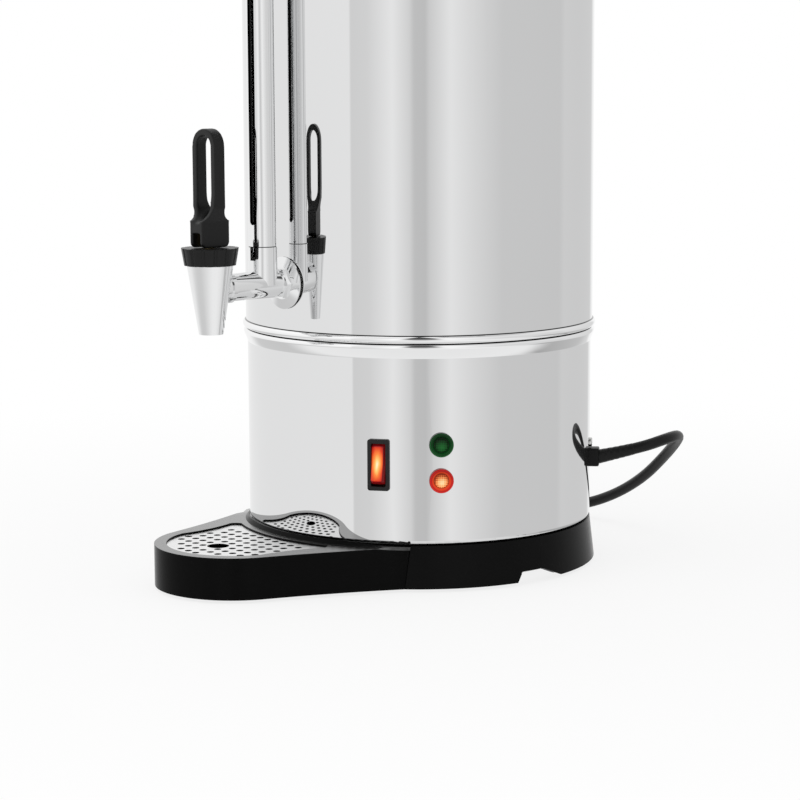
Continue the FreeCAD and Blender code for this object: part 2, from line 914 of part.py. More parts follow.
def thermostats():
    """Two disc thermostats that sense the plate."""
    cap = s.thermostat_height * 0.4
    discs = []
    for number, azimuth in enumerate((70, 290)):
        disc = turned(f"thermostat_{number}", [
            (0, -s.thermostat_height),
            (s.thermostat_radius * 0.5, -s.thermostat_height),
            (s.thermostat_radius * 0.5, -s.thermostat_height * 0.8),
            (s.thermostat_radius * 0.9, -s.thermostat_height * 0.8),
            (s.thermostat_radius * 0.9, -cap),
            (s.thermostat_radius, -cap),
            (s.thermostat_radius, 0),
            (0, 0),
        ])
        discs.append(place(disc, out_x(s.thermostat_ring, azimuth), out_y(s.thermostat_ring, azimuth),
                           bottom_under))
    return group("thermostats", discs)


def thermal_cutout():
    """The boil-dry fuse, in its sleeve across the plate's underside."""
    level = bottom_under - s.cutout_radius
    sleeve = rod("cutout_sleeve", s.cutout_radius, s.cutout_length)
    place(sleeve, -s.cutout_length / 2, s.thermostat_ring, level, pitch=90)
    tab = place(box("cutout_tab", s.cutout_length * 0.5, s.cutout_radius * 4, s.clip_thick),
                0, s.thermostat_ring, bottom_under - s.clip_thick)
    return joined("thermal_cutout", [sleeve, tab])


def tie_rods():
    """Studs welded under the tank's bottom that draw the tank, shell and base together."""
    low = base_top - s.ledge_thick - s.rod_nut_height - s.rod_end
    studs = [place(rod(f"tie_rod_{number}", s.rod_radius, bottom_under - low),
                   out_x(fixing_radius, azimuth), out_y(fixing_radius, azimuth), low)
             for number, azimuth in enumerate(rod_azimuths)]
    return group("tie_rods", studs)


def rod_nuts():
    nuts = []
    for number, azimuth in enumerate(rod_azimuths):
        blank = hexagon(f"rod_nut_blank_{number}", s.rod_nut_radius * 2, s.rod_nut_height)
        bore = rod(f"rod_nut_bore_{number}", s.rod_radius + s.screw_fit, s.rod_nut_height)
        nut = cut(f"rod_nut_{number}", blank, [bore])
        spot = out_x(fixing_radius, azimuth), out_y(fixing_radius, azimuth)
        nuts.append(place(nut, *spot, base_top - s.ledge_thick - s.rod_nut_height))
    return group("rod_nuts", nuts)


def terminal_block():
    """The block on the bottom cover where the supply cord meets the inner leads."""
    block = box("terminal_stock", s.block_length, s.block_width, s.block_height)
    ways = []
    for number in range(3):
        way = rod(f"terminal_way_{number}", s.block_height * 0.15, s.block_width * 2)
        ways.append(place(way, s.block_length * 0.3 * (number - 1), s.block_width, s.block_height * 0.45, roll=90))
    whole = cut("terminal_block", block, ways)
    return place(whole, out_x(s.block_ring, 150), out_y(s.block_ring, 150), cover_top, yaw=150)


def earth_stud():
    """The earth stud on the bottom cover, with its two nuts."""
    nuts = [place(hexagon(f"earth_nut_{number}", s.rod_nut_radius * 2, s.rod_nut_height), 0, 0, level)
            for number, level in enumerate((s.cover_thick * 0, s.rod_nut_height * 2))]
    whole = joined("earth_stud", [rod("earth_shank", s.rod_radius, s.earth_length)] + nuts)
    return place(whole, out_x(s.block_ring, 110), out_y(s.block_ring, 110), cover_top)


# Switch, lamps and cord outlet on the heater shell

def switch_housing():
    half_width, half_height = s.bezel_width / 2, s.bezel_height / 2
    corner = s.bezel_corner
    bezel = padded("switch_bezel", s.bezel_proud, outline=[
        left(-half_width + corner, -half_height, corner),
        (half_width - corner, -half_height),
        left(half_width, -half_height + corner, corner),
        (half_width, half_height - corner),
        left(half_width - corner, half_height, corner),
        (-half_width + corner, half_height),
        left(-half_width, half_height - corner, corner),
        (-half_width, -half_height + corner),
    ])
    case = place(box("switch_case", s.switch_width, s.switch_tall, s.switch_depth), 0, 0, -s.switch_depth)
    room = place(box("switch_room", s.rocker_room_width, s.rocker_room_height, s.rocker_room_depth),
                 0, 0, s.bezel_proud - s.rocker_room_depth)
    pin_hole = place(rod("rocker_pin_hole", s.rocker_pin + s.rocker_pin_fit, s.switch_width * 2),
                     -s.switch_width, 0, -s.rocker_pivot_depth, pitch=90)
    whole = cut("switch_housing", joined("switch_stock", [bezel, case]), [room, pin_hole])
    return face_out(whole, s.switch_azimuth, s.shell_radius, switch_level)


def switch_rocker():
    """The rocker, with its shallow V face; it lies pressed in at the top, its lower end out."""
    flush = s.bezel_proud + s.rocker_pivot_depth - s.rocker_gap
    end = s.rocker_room_height / 2 - s.rocker_gap
    turn_cos, turn_sin = cosine(s.rocker_tilt), sine(s.rocker_tilt)
    tip_out = flush * turn_cos + end * turn_sin
    tip_up = end * turn_cos - flush * turn_sin
    back = s.rocker_room_depth - flush - s.rocker_gap * 4
    key = padded("rocker_key", s.rocker_room_width - s.rocker_gap * 2, plane="YZ_Plane", middle=True, outline=[
        (tip_up, tip_out),
        (tip_up - s.rocker_taper, s.rocker_edge),
        (back, -back),
        (-back, -back),
        (s.rocker_taper - tip_up, s.rocker_edge),
        (-tip_up, tip_out),
        (0, flush / turn_cos),
    ])
    pin_length = s.switch_width - s.rocker_gap * 4
    pin = place(rod("rocker_pin", s.rocker_pin, pin_length), -pin_length / 2, 0, 0, pitch=90)
    whole = joined("switch_rocker", [key, pin])
    reach = s.shell_radius - s.rocker_pivot_depth
    spot = out_x(reach, s.switch_azimuth), out_y(reach, s.switch_azimuth), switch_level
    return place(whole, *spot, yaw=s.switch_azimuth, roll=90 - s.rocker_tilt)


def lamp(label, rise):
    """A push-in signal lamp: rim, sunken ring and domed lens in one coloured moulding."""
    rim, dome, proud = s.lamp_radius, s.lamp_dome, s.lamp_proud
    whole = turned(label, [
        (0, -s.lamp_depth),
        (s.lamp_body * 0.7, -s.lamp_depth),
        (s.lamp_body, -s.lamp_depth * 0.8),
        (s.lamp_body, 0),
        (rim, 0),
        (rim, proud * 0.5),
        left(rim - proud * 0.4, proud * 0.9, proud * 0.45),
        (dome + s.lamp_groove, proud * 0.45),
        (dome, proud * 0.45),
        left(0, proud, bow_radius(dome, proud * 0.55)),
    ])
    return face_out(whole, s.lamp_azimuth, s.shell_radius, base_top + rise)


def lamp_nuts():
    nuts = []
    for name, rise in (("green", s.green_rise), ("red", s.red_rise)):
        nut = padded(f"{name}_nut", s.lamp_nut_height, circle=s.lamp_nut,
                     holes=[(0, 0, s.lamp_body + s.screw_fit)])
        reach = leg(shell_inner, s.lamp_nut) - s.lamp_nut_height
        nuts.append(face_out(nut, s.lamp_azimuth, reach, base_top + rise))
    return group("lamp_nuts", nuts)


def cord_gland():
    """The black outlet that grips the cord: a collar outside, a stem through the shell."""
    bore = s.cord_radius + s.screw_fit
    whole = turned("cord_gland", [
        (bore, -s.gland_depth),
        (s.gland_stem, -s.gland_depth),
        (s.gland_stem, 0),
        (s.gland_flange, 0),
        (s.gland_flange, s.gland_proud * 0.3),
        (s.gland_radius, s.gland_proud * 0.45),
        (s.gland_radius - 0.5, s.gland_proud),
        (bore, s.gland_proud),
    ])
    return face_out(whole, s.gland_azimuth, s.shell_radius, gland_level)


def gland_nut():
    blank = hexagon("gland_nut_blank", s.gland_nut * 2, s.lamp_nut_height)
    bore = rod("gland_nut_bore", s.gland_stem + s.screw_fit, s.lamp_nut_height)
    reach = leg(shell_inner, s.gland_nut * 1.16) - s.lamp_nut_height
    return face_out(cut("gland_nut", blank, [bore]), s.gland_azimuth, reach, gland_level)


def panel_screw():
    """The small screw over the cord outlet; its head is outside."""
    screw = pan_screw("panel_screw", s.panel_screw_radius, s.screw_length * 0.8, s.panel_screw_radius * 1.8,
                      s.panel_screw_radius)
    level = gland_level + s.panel_screw_rise
    spot = out_x(s.shell_radius, s.gland_azimuth), out_y(s.shell_radius, s.gland_azimuth), level
    return place(screw, *spot, yaw=s.gland_azimuth, roll=-90)


# Tap: pipe, gaskets and nut

hub_reach = tank_radius + s.gasket_gap + s.gasket_thick + s.gasket_gap
hex_reach = hub_reach + s.flange_thick
shank_inner = tank_radius - s.shank_inward
pipe_end = tap_reach - s.step_far
cup_top = pipe_level + s.cup_height


def tap_tee():
    """The pipe through the tank's wall, with the cup that the sight glass stands in."""
    pipe = face_out(turned("tee_pipe", [
        (s.pipe_bore, shank_inner),
        (s.shank_radius, shank_inner),
        (s.shank_radius, hex_reach),
        (s.pipe_radius, hex_reach),
        (s.pipe_radius, pipe_end),
        (s.stub_radius + s.screw_fit, pipe_end),
        (s.stub_radius + s.screw_fit, pipe_end - s.stub_length - s.screw_fit),
        (s.pipe_bore, pipe_end - s.stub_length - s.screw_fit),
    ]), 0, 0, pipe_level)
    flats = face_out(hexagon("tee_flats", s.hex_flats, s.hex_length), 0, hex_reach, pipe_level)
    spigot = s.shield_radius - s.shield_wall - s.shield_fit
    cup = place(turned("tee_cup", [
        (0, 0),
        (s.cup_radius, 0),
        (s.cup_radius, s.cup_height),
        (spigot, s.cup_height),
        (spigot, s.cup_height + s.cup_spigot),
        (0, s.cup_height + s.cup_spigot),
    ]), 0, -gauge_reach, pipe_level)
    bore = face_out(rod("tee_bore", s.pipe_bore, s.hex_length * 4), 0, hex_reach - s.hex_length, pipe_level)
    cross = face_out(rod("cup_cross", s.pipe_bore, s.cup_radius * 2), 0, gauge_reach - s.cup_radius, pipe_level)
    riser = place(rod("cup_riser", s.glass_bore, s.cup_height), 0, -gauge_reach, pipe_level)
    socket = place(rod("cup_socket", s.socket_radius, s.cup_height), 0, -gauge_reach, pipe_level + s.cup_floor)
    slot = box("cup_slot", s.cup_slot_width, s.cup_radius * 2, s.cup_slot_depth + s.cup_spigot)
    place(slot, out_x(s.cup_radius, s.gauge_turn), -gauge_reach + out_y(s.cup_radius, s.gauge_turn),
          cup_top - s.cup_slot_depth, yaw=s.gauge_turn)
    return cut("tap_tee", joined("tee_stock", [pipe, flats, cup]), [bore, cross, riser, socket, slot])


def tap_flange():
    """The dished plate over the outer gasket."""
    hole, thick, dish = s.shank_radius + s.shank_fit, s.flange_thick, s.flange_dish
    hub = s.gasket_radius
    whole = turned("tap_flange", [
        (hole, 0),
        (hub, 0),
        (s.flange_radius - thick / 2, -dish),
        (s.flange_radius, -dish),
        (s.flange_radius, -dish + thick),
        (hub - thick / 2, thick),
        (hole, thick),
    ])
    return face_out(whole, 0, hub_reach, pipe_level)


def ring(label, inner, outer, thick, reach):
    """A flat ring round the tap's shank."""
    whole = padded(label, thick, circle=outer, holes=[(0, 0, inner)])
    return face_out(whole, 0, reach, pipe_level)


def outer_gasket():
    reach = tank_radius + s.gasket_gap
    return ring("outer_gasket", s.shank_radius + s.shank_fit, s.gasket_radius, s.gasket_thick, reach)


inner_gasket_reach = leg(tank_inner, s.inner_gasket_radius) - s.inner_gasket_thick - s.flat_gap


def inner_gasket():
    return ring("inner_gasket", s.shank_radius + s.shank_fit, s.inner_gasket_radius, s.inner_gasket_thick,
                inner_gasket_reach)


def shank_nut():
    blank = hexagon("shank_nut_blank", s.shank_nut_flats, s.shank_nut_height)
    bore = rod("shank_nut_bore", s.shank_radius + s.screw_fit, s.shank_nut_height)
    reach = inner_gasket_reach - s.shank_nut_height
    return face_out(cut("shank_nut", blank, [bore]), 0, reach, pipe_level)


# Sight glass

shield_top = cup_top + s.shield_length
cap_base = shield_top - s.cap_skirt
cap_roof = cap_base + s.cap_height - s.cap_wall
glass_base = pipe_level + s.cup_floor


def at_gauge(thing, level):
    return place(thing, 0, -gauge_reach, level)


def gauge_tube():
    length = cap_roof - s.glass_end_gap - glass_base
    whole = padded("gauge_tube", length, circle=s.glass_radius, holes=[(0, 0, s.glass_bore)])
    return at_gauge(whole, glass_base)


def gauge_shield():
    """The steel sleeve round the glass, slotted in front and behind."""
    sleeve = padded("shield_sleeve", s.shield_length, circle=s.shield_radius,
                    holes=[(0, 0, s.shield_radius - s.shield_wall)])
    half, start = s.shield_slot_width / 2, s.shield_slot_start
    end = s.shield_length - s.shield_slot_end
    slot = padded("shield_slot", s.shield_radius * 3, plane="XZ_Plane", middle=True, outline=[
        left(half, start + half, half),
        (half, end - half),
        left(0, end, half),
        left(-half, end - half, half),
        (-half, start + half),
        left(0, start, half),
    ])
    whole = cut("gauge_shield", sleeve, [slot])
    return place(whole, 0, -gauge_reach, cup_top, yaw=s.gauge_turn)


def gauge_cap():
    inner, glass_room = s.shield_radius + s.screw_fit, s.glass_radius + s.seal_gap * 5
    roof = s.cap_height - s.cap_wall
    whole = turned("gauge_cap", [
        (inner, 0),
        (s.cap_radius, 0),
        (s.cap_radius, roof),
        left(s.cap_radius - s.cap_wall, s.cap_height, s.cap_wall),
        (s.cap_vent, s.cap_height),
        (s.cap_vent, roof),
        (glass_room, roof),
        (glass_room, s.cap_skirt),
        (inner, s.cap_skirt),
    ])
    return at_gauge(whole, cap_base)


def gauge_seals():
    """The rubber rings that hold the glass, in its cup and in its cap."""
    bore = s.glass_radius + s.seal_gap
    low = padded("low_seal", s.seal_height, circle=s.socket_radius - s.seal_gap, holes=[(0, 0, bore)])
    high_radius = s.shield_radius - s.shield_wall - s.seal_gap
    high = padded("high_seal", s.seal_height, circle=high_radius, holes=[(0, 0, bore)])
    at_gauge(low, glass_base + s.flat_gap)
    at_gauge(high, cap_base)
    return group("gauge_seals", [low, high])


# Tap: spout, valve and lever

spout_base = pipe_level - s.spout_drop
cone_top = pipe_level + s.cone_rise
neck_top = cone_top + s.neck_height
bonnet_base = cone_top + s.bonnet_lift
bonnet_top = bonnet_base + s.bonnet_height
seat_level = pipe_level - s.seat_drop
valve_base = seat_level - s.seat_depth + s.seat_gap * 3
valve_top = valve_base + s.cup_valve_height
lever_base = bonnet_top + s.lever_gap
pin_level = lever_base + s.pin_height


def at_tap(thing, level):
    return place(thing, 0, -tap_reach, level)


def spout_body():
    """The chromed cone with its valve chamber, seat and outlet, and the stub into the pipe."""
    cone = at_tap(turned("spout_cone", [
        (0, spout_base),
        (s.spout_tip, spout_base),
        (s.cone_radius, cone_top),
        (s.neck_radius, cone_top),
        (s.neck_radius, neck_top),
        (0, neck_top),
    ]), 0)
    stub_start = pipe_end - s.stub_length
    stub = face_out(rod("spout_stub", s.stub_radius, tap_reach - stub_start), 0, stub_start, pipe_level)
    step = face_out(rod("spout_step", s.step_radius, s.step_far - s.step_near), 0, pipe_end, pipe_level)
    waist = face_out(rod("spout_waist", s.pipe_radius, s.step_far), 0, pipe_end, pipe_level)
    chamber = at_tap(turned("spout_chamber", [
        (0, spout_base),
        (s.outlet_bore, spout_base),
        (s.outlet_bore, seat_level - s.seat_depth),
        (s.chamber_low_radius, seat_level),
        (s.chamber_radius, neck_top - s.chamber_straight),
        (s.chamber_radius, neck_top),
        (0, neck_top),
    ]), 0)
    bore = face_out(rod("stub_bore", s.pipe_bore, tap_reach - stub_start), 0, stub_start, pipe_level)
    return cut("spout_body", joined("spout_stock", [cone, stub, step, waist]), [chamber, bore])


def bonnet():
    """The fluted cap that closes the chamber and guides the stem."""
    hole = s.stem_radius + s.stem_fit
    cap = turned("bonnet_cap", [
        (s.neck_radius + s.screw_fit, bonnet_base),
        (s.bonnet_low_radius, bonnet_base),
        (s.bonnet_high_radius, bonnet_top),
        (hole, bonnet_top),
        (hole, neck_top),
        (s.neck_radius + s.screw_fit, neck_top),
    ])
    spread = s.bonnet_high_radius - s.bonnet_low_radius
    lean = math.degrees(math.atan2(spread.value, s.bonnet_height.value))
    flutes = []
    for number in range(int(s.bonnet_grooves.value)):
        turn = size(360 * number) / s.bonnet_grooves
        reach = s.bonnet_low_radius + s.groove_radius * 0.4
        flute = rod(f"flute_{number}", s.groove_radius, s.bonnet_height * 1.4)
        flutes.append(place(flute, reach * cosine(turn), reach * sine(turn), bonnet_base - 1, turn, lean))
    return at_tap(cut("bonnet", cap, flutes), 0)


def valve_stem():
    """The lifting stem, with a flat head that the lever's pin goes through."""
    foot = valve_base + s.cup_valve_height * 0.6
    shoulder = bonnet_top + s.stem_head_gap
    shank = at_tap(rod("stem_shank", s.stem_radius, shoulder - foot + 1), foot)
    head = at_tap(box("stem_head", s.stem_head_width, s.stem_head_depth, s.stem_head_height), shoulder)
    hole = rod("stem_pin_hole", s.pin_radius + s.pin_fit, s.stem_head_width * 2)
    place(hole, -s.stem_head_width, -tap_reach, pin_level, pitch=90)
    return cut("valve_stem", joined("stem_stock", [shank, head]), [hole])


def seat_cup():
    """The rubber cup that closes on the seat."""
    bevel = s.seat_depth * 0.9
    hole = s.stem_radius + s.screw_fit
    foot = valve_base + s.cup_valve_height * 0.6
    return at_tap(turned("seat_cup", [
        (0, valve_base),
        (s.cup_valve_radius - bevel, valve_base),
        (s.cup_valve_radius, valve_base + bevel),
        (s.cup_valve_radius, valve_top - 1.5),
        (s.cup_valve_radius - 1.5, valve_top),
        (hole, valve_top),
        (hole, foot),
        (0, foot),
    ]), 0)


def lever_pin():
    """The pin, pressed in from the lever's left side; it stops short of the right side."""
    end_room = s.pin_fit * 4
    length = s.lever_width - s.pin_cover - end_room * 2
    start = end_room - s.lever_width / 2
    return place(rod("lever_pin", s.pin_radius, length), start, -tap_reach, pin_level, pitch=90)


def lever_shoulder(label, side, bend_top):
    """What is cut off the fork in front or behind, so that it narrows in a hollow curve."""
    half_thick, half_depth, radius = s.fork_thick / 2, s.lever_depth / 2, s.shoulder_radius
    bend_low = bend_top - leg(radius, radius - half_depth + half_thick)
    deep, high = half_depth + 1, s.lever_block + s.fork_top + 1
    turn = left if side > 0 else right
    return padded(label, s.fork_width * 2, plane="YZ_Plane", middle=True, outline=[
        (half_thick * side, high),
        (half_thick * side, bend_top),
        turn(half_depth * side, bend_low, radius),
        (deep * side, bend_low),
        (deep * side, high),
    ])


def lever_scoop(crotch, half_gap):
    """The hollow that runs down from the loop to the block's front edge."""
    rear = s.fork_thick / 2
    middle = crotch + half_gap / cosine(s.scoop_tilt)
    return place(rod("lever_scoop", half_gap, s.lever_depth * 2), 0, rear, middle, roll=s.scoop_tilt + 90)


def lever():
    """The tap's handle: a rocking block on the pin and a long open loop to push or pull."""
    half_depth, cam, high = s.lever_depth / 2, s.lever_cam, s.lever_block
    block = padded("lever_block_body", s.lever_width, plane="YZ_Plane", middle=True, outline=[
        left(-half_depth + cam, 0, cam),
        (half_depth - cam, 0),
        left(half_depth, cam, cam),
        (half_depth, high - cam),
        left(half_depth - cam, high, cam),
        (-half_depth + cam, high),
        left(-half_depth, high - cam, cam),
        (-half_depth, cam),
    ])
    half_block, half_fork = s.lever_width / 2, s.fork_width / 2
    crotch = s.lever_block + s.fork_crotch
    bend_top = s.lever_block + s.fork_bend
    shoulder = s.lever_block + s.fork_top - half_fork
    half_gap = half_fork - s.fork_arm
    fork = padded("lever_fork", s.lever_depth, plane="XZ_Plane", middle=True, outline=[
        (-half_block, s.lever_block * 0.6),
        (half_block, s.lever_block * 0.6),
        (half_block, s.lever_block),
        (half_fork, bend_top),
        (half_fork, shoulder),
        left(0, shoulder + half_fork, half_fork),
        left(-half_fork, shoulder, half_fork),
        (-half_fork, bend_top),
        (-half_block, s.lever_block),
    ])
    gap = padded("lever_loop", s.fork_thick * 3, plane="XZ_Plane", middle=True, outline=[
        left(half_gap, crotch + half_gap, half_gap),
        (half_gap, shoulder),
        left(0, shoulder + half_gap, half_gap),
        left(-half_gap, shoulder, half_gap),
        (-half_gap, crotch + half_gap),
        left(0, crotch, half_gap),
    ])
    slot_back = s.stem_head_depth / 2 + s.lever_gap
    slot = place(box("lever_slot", s.lever_slot_width, slot_back + s.lever_depth, s.lever_slot_height + 1),
                 0, (slot_back - s.lever_depth) / 2, -1)
    pocket = place(rod("lever_pocket_bore", s.lever_pocket, s.lever_slot_width),
                   -s.lever_slot_width / 2, 0, s.pin_height, pitch=90)
    hole = place(rod("lever_pin_bore", s.pin_radius + s.pin_fit, s.lever_width * 1.5 - s.pin_cover),
                 -s.lever_width, 0, s.pin_height, pitch=90)
    shoulders = [lever_shoulder("lever_front", -1, bend_top), lever_shoulder("lever_rear", 1, bend_top)]
    shaped = cut("lever_shaped", joined("lever_stock", [block, fork]), shoulders)
    looped = cut("lever_looped", shaped, [gap, slot, pocket, hole])
    whole = cut("lever", looped, [lever_scoop(crotch, half_gap)])
    return at_tap(whole, lever_base)


def unit(vector):
    return V(vector).normalize()


def arc_to(start, heading, end):
    """The arc that leaves start along heading and reaches end."""
    chord = end - start
    along = unit(chord)
    forward = max(-1.0, min(1.0, heading.dot(along)))
    aside = heading - along * forward
    if aside.Length < 1e-6:
        return Part.LineSegment(start, end).toShape()
    sagitta = chord.Length / 2 * math.tan(math.acos(forward) / 2)
    return Part.Arc(start, (start + end) / 2 + unit(aside) * sagitta, end).toShape()


def biarc(start, heading, end, last_heading):
    """Two arcs that join two points and their headings without a corner."""
    chord, both = end - start, heading + last_heading
    square = 2 * (1 - heading.dot(last_heading))
    middle = chord.dot(both)
    reach = chord.dot(chord) / (2 * middle)
    if square > 1e-9:
        reach = (math.sqrt(middle ** 2 + square * chord.dot(chord)) - middle) / square
    first, last = start + heading * reach, end - last_heading * reach
    meet = (first + last) / 2
    return [arc_to(start, heading, meet), arc_to(meet, unit(last - first), end)]


def swept(edges, radius):
    """A round tube along a chain of edges."""
    start, heading = edges[0].valueAt(edges[0].FirstParameter), edges[0].tangentAt(edges[0].FirstParameter)
    section = Part.Wire([Part.Circle(start, heading, radius).toShape()])
    return Part.Wire(edges).makePipeShell([section], True, False)


def winding(spots, headings):
    """The biarcs through a list of points and headings."""
    edges = []
    for index in range(len(spots) - 1):
        edges += biarc(spots[index], headings[index], spots[index + 1], headings[index + 1])
    return edges


def least_gap(curve, per_turn, radius):
    """The least free space between the passes of one tube, from points along its middle line."""
    least = float("inf")
    for index, spot in enumerate(curve):
        for other in curve[index + per_turn // 2:]:
            least = min(least, (spot - other).Length)
    return least - 2 * radius


def valve_spring():
    """The spring that closes the tap, coiled round the stem, its ends straight and square."""
    mean, wire = s.spring_radius.value, s.spring_wire.value
    end_room = wire * 1.3
    low, high = valve_top.value + end_room, neck_top.value - end_room
    steps = 4 * int(s.spring_turns.value)
    climb = (high - low) / steps
    slope = climb / (mean * math.pi / 2)
    spots, headings = [], []
    for step in range(steps + 1):
        turn = step * math.pi / 2
        spots.append(V(mean * math.cos(turn), mean * math.sin(turn), low + climb * step))
        headings.append(unit(V(-math.sin(turn), math.cos(turn), slope)))
    edges = winding(spots, headings)
    first = Part.LineSegment(spots[0] - headings[0] * wire * 2, spots[0]).toShape()
    last = Part.LineSegment(spots[-1], spots[-1] + headings[-1] * wire * 2).toShape()
    print("spring gap %.2f" % (climb * 4 - 2 * wire))
    spring = document.addObject("Part::Feature", "valve_spring")
    spring.Shape = swept([first] + edges + [last], wire)
    return at_tap(spring, 0)


# Side handles

handle_level = tank_top - s.handle_drop


def handle_azimuths():
    """Where the handles' screws go through the tank's wall."""
    return [side + offset for side in (90, 270)
            for offset in (-s.handle_screw_azimuth, s.handle_screw_azimuth)]


def side_handle(label, side):
    """A closed-end grip on the tank's side, hollow for the fingers."""
    half, bar, foot = s.handle_span / 2, s.handle_bar, s.handle_foot
    seat = tank_radius + s.screw_fit
    reach, corner = tank_radius + s.handle_reach, s.handle_corner
    inner_corner = corner - bar
    near, far = half - foot, half
    grip = padded(label + "_grip", s.handle_thick, middle=True, outline=[
        right(leg(seat, far), -far, seat),
        (reach - corner, -far),
        left(reach, -far + corner, corner),
        (reach, far - corner),
        left(reach - corner, far, corner),
        (leg(seat, far), far),
        right(leg(seat, near), near, seat),
        (reach - bar - inner_corner, near),
        right(reach - bar, near - inner_corner, inner_corner),
        (reach - bar, inner_corner - near),
        right(reach - bar - inner_corner, -near, inner_corner),
        (leg(seat, near), -near),
    ])
    outside = tank_radius.value + 4
    half_thick = s.handle_thick.value / 2
    rounded(grip, s.handle_round, lambda edge: edge.BoundBox.ZLength < 1e-6
            and abs(abs(edge.BoundBox.ZMin) - half_thick) < 1e-6 and edge.BoundBox.XMax > outside)
    tools = []
    for number, offset in enumerate((-s.handle_screw_azimuth, s.handle_screw_azimuth)):
        hole = rod(f"{label}_bore_{number}", s.handle_screw_radius + s.screw_fit, s.handle_screw_length * 2)
        tools.append(face_out(hole, 90 + offset, tank_radius - s.handle_screw_length, 0))
    return place(cut(label, grip, tools), 0, 0, handle_level, yaw=0 if side > 0 else 180)


def handle_screws():
    screws = []
    seat = leg(tank_inner, s.handle_screw_head) - s.flat_gap
    for number, azimuth in enumerate(handle_azimuths()):
        screw = pan_screw(f"handle_screw_{number}", s.handle_screw_radius, s.handle_screw_length,
                          s.handle_screw_head, s.handle_screw_head_height)
        screws.append(face_out(screw, azimuth, seat, handle_level))
    return group("handle_screws", screws)


# Lid

lid_level = tank_top + s.lid_gap
lid_radius = tank_radius + s.lid_overhang
plug_radius = tank_inner - s.lid_plug_gap
dome_radius = bow_radius(plug_radius - s.lid_thick, s.lid_rise)
knob_level = lid_level + s.lid_rise + s.lid_thick


def lid():
    thick, plug = s.lid_thick, plug_radius
    plug_inner = plug - thick
    dome = turned("lid_dome", [
        (0, lid_level + s.lid_rise),
        right(plug_inner, lid_level, dome_radius),
        (plug_inner, lid_level - s.lid_plug_depth),
        (plug, lid_level - s.lid_plug_depth),
        (plug, lid_level),
        (lid_radius, lid_level),
        (lid_radius, lid_level + thick),
        (plug, lid_level + thick),
        left(0, lid_level + s.lid_rise + thick, bow_radius(plug, s.lid_rise)),
    ])
    hole = place(rod("lid_hole", s.handle_screw_radius + s.screw_fit * 4, thick * 20),
                 0, 0, lid_level + s.lid_rise - thick * 10)
    return cut("lid", dome, [hole])


def lid_knob():
    high, bore = s.knob_height, s.handle_screw_radius + s.screw_fit
    return place(turned("lid_knob", [
        (bore, 0),
        (s.knob_foot, 0),
        right(s.knob_waist, high * 0.3, bow_radius(high * 0.3, s.knob_foot - s.knob_waist)),
        right(s.knob_radius, high * 0.72, high * 0.8),
        left(s.knob_radius * 0.8, high * 0.94, high * 0.26),
        left(0, high, bow_radius(s.knob_radius * 0.8, high * 0.06)),
        (0, s.knob_screw_hole),
        (bore, s.knob_screw_hole),
    ]), 0, 0, knob_level)


def knob_screw():
    length = s.lid_thick + s.knob_screw_hole * 0.9
    screw = pan_screw("knob_screw", s.handle_screw_radius, length, s.handle_screw_head, s.handle_screw_head_height)
    fall = dome_radius - leg(dome_radius, s.handle_screw_head)
    return place(screw, 0, 0, lid_level + s.lid_rise - fall - s.flat_gap)


# Percolator: tube, basket and spreader

basket_base = tank_top - s.basket_below_rim
basket_top = basket_base + s.basket_height
perforation_rings = (1, 2, 3)


def perforations(prefix, level):
    """Rings of small holes, as tools that pass through a flat plate at this level."""
    tools = []
    for ring_number in perforation_rings:
        reach = s.tube_radius + s.perforation_pitch * ring_number
        count = 6 + 6 * ring_number
        for number in range(count):
            hole = rod(f"{prefix}_{ring_number}_{number}", s.perforation_radius, s.basket_wall * 4)
            azimuth = 360 * number / count
            tools.append(place(hole, out_x(reach, azimuth), out_y(reach, azimuth), level - s.basket_wall * 2))
    return tools


def perc_tube():
    """The riser tube, with its bell that stands in the well and the collar under the basket."""
    low = well_floor + s.tube_gap
    wall = s.bell_wall
    shoulder = low + s.bell_height
    neck = shoulder + s.bell_cone
    collar_top = basket_base
    collar_base = collar_top - s.collar_height
    stock = turned("tube_stock", [
        (s.bell_radius - wall, low),
        (s.bell_radius, low),
        (s.bell_radius, shoulder),
        (s.tube_radius, neck),
        (s.tube_radius, collar_base),
        (s.collar_radius, collar_base + s.collar_height / 2),
        (s.collar_radius, collar_top),
        (s.tube_radius, collar_top),
        (s.tube_radius, tank_top - s.tube_top),
        (s.tube_bore, tank_top - s.tube_top),
        (s.tube_bore, neck - wall),
        (s.bell_radius - wall, shoulder - wall),
    ])
    ports = [place(box(f"bell_port_{number}", s.bell_radius * 3, s.bell_port * 3, s.bell_port), 0, 0, low, yaw=turn)
             for number, turn in enumerate((0, 90))]
    return cut("perc_tube", stock, ports)


def filter_basket():
    wall, sleeve = s.basket_wall, s.tube_radius + s.sleeve_gap
    radius, rim = s.basket_radius, s.basket_rim
    stock = turned("basket_stock", [
        (sleeve, basket_base),
        (radius, basket_base),
        (radius, basket_top - wall),
        (radius + rim, basket_top - wall),
        (radius + rim, basket_top),
        (radius - wall, basket_top),
        (radius - wall, basket_base + wall),
        (sleeve + wall, basket_base + wall),
        (sleeve + wall, basket_base + s.basket_sleeve),
        (sleeve, basket_base + s.basket_sleeve),
    ])
    return cut("filter_basket", stock, perforations("basket_hole", basket_base))


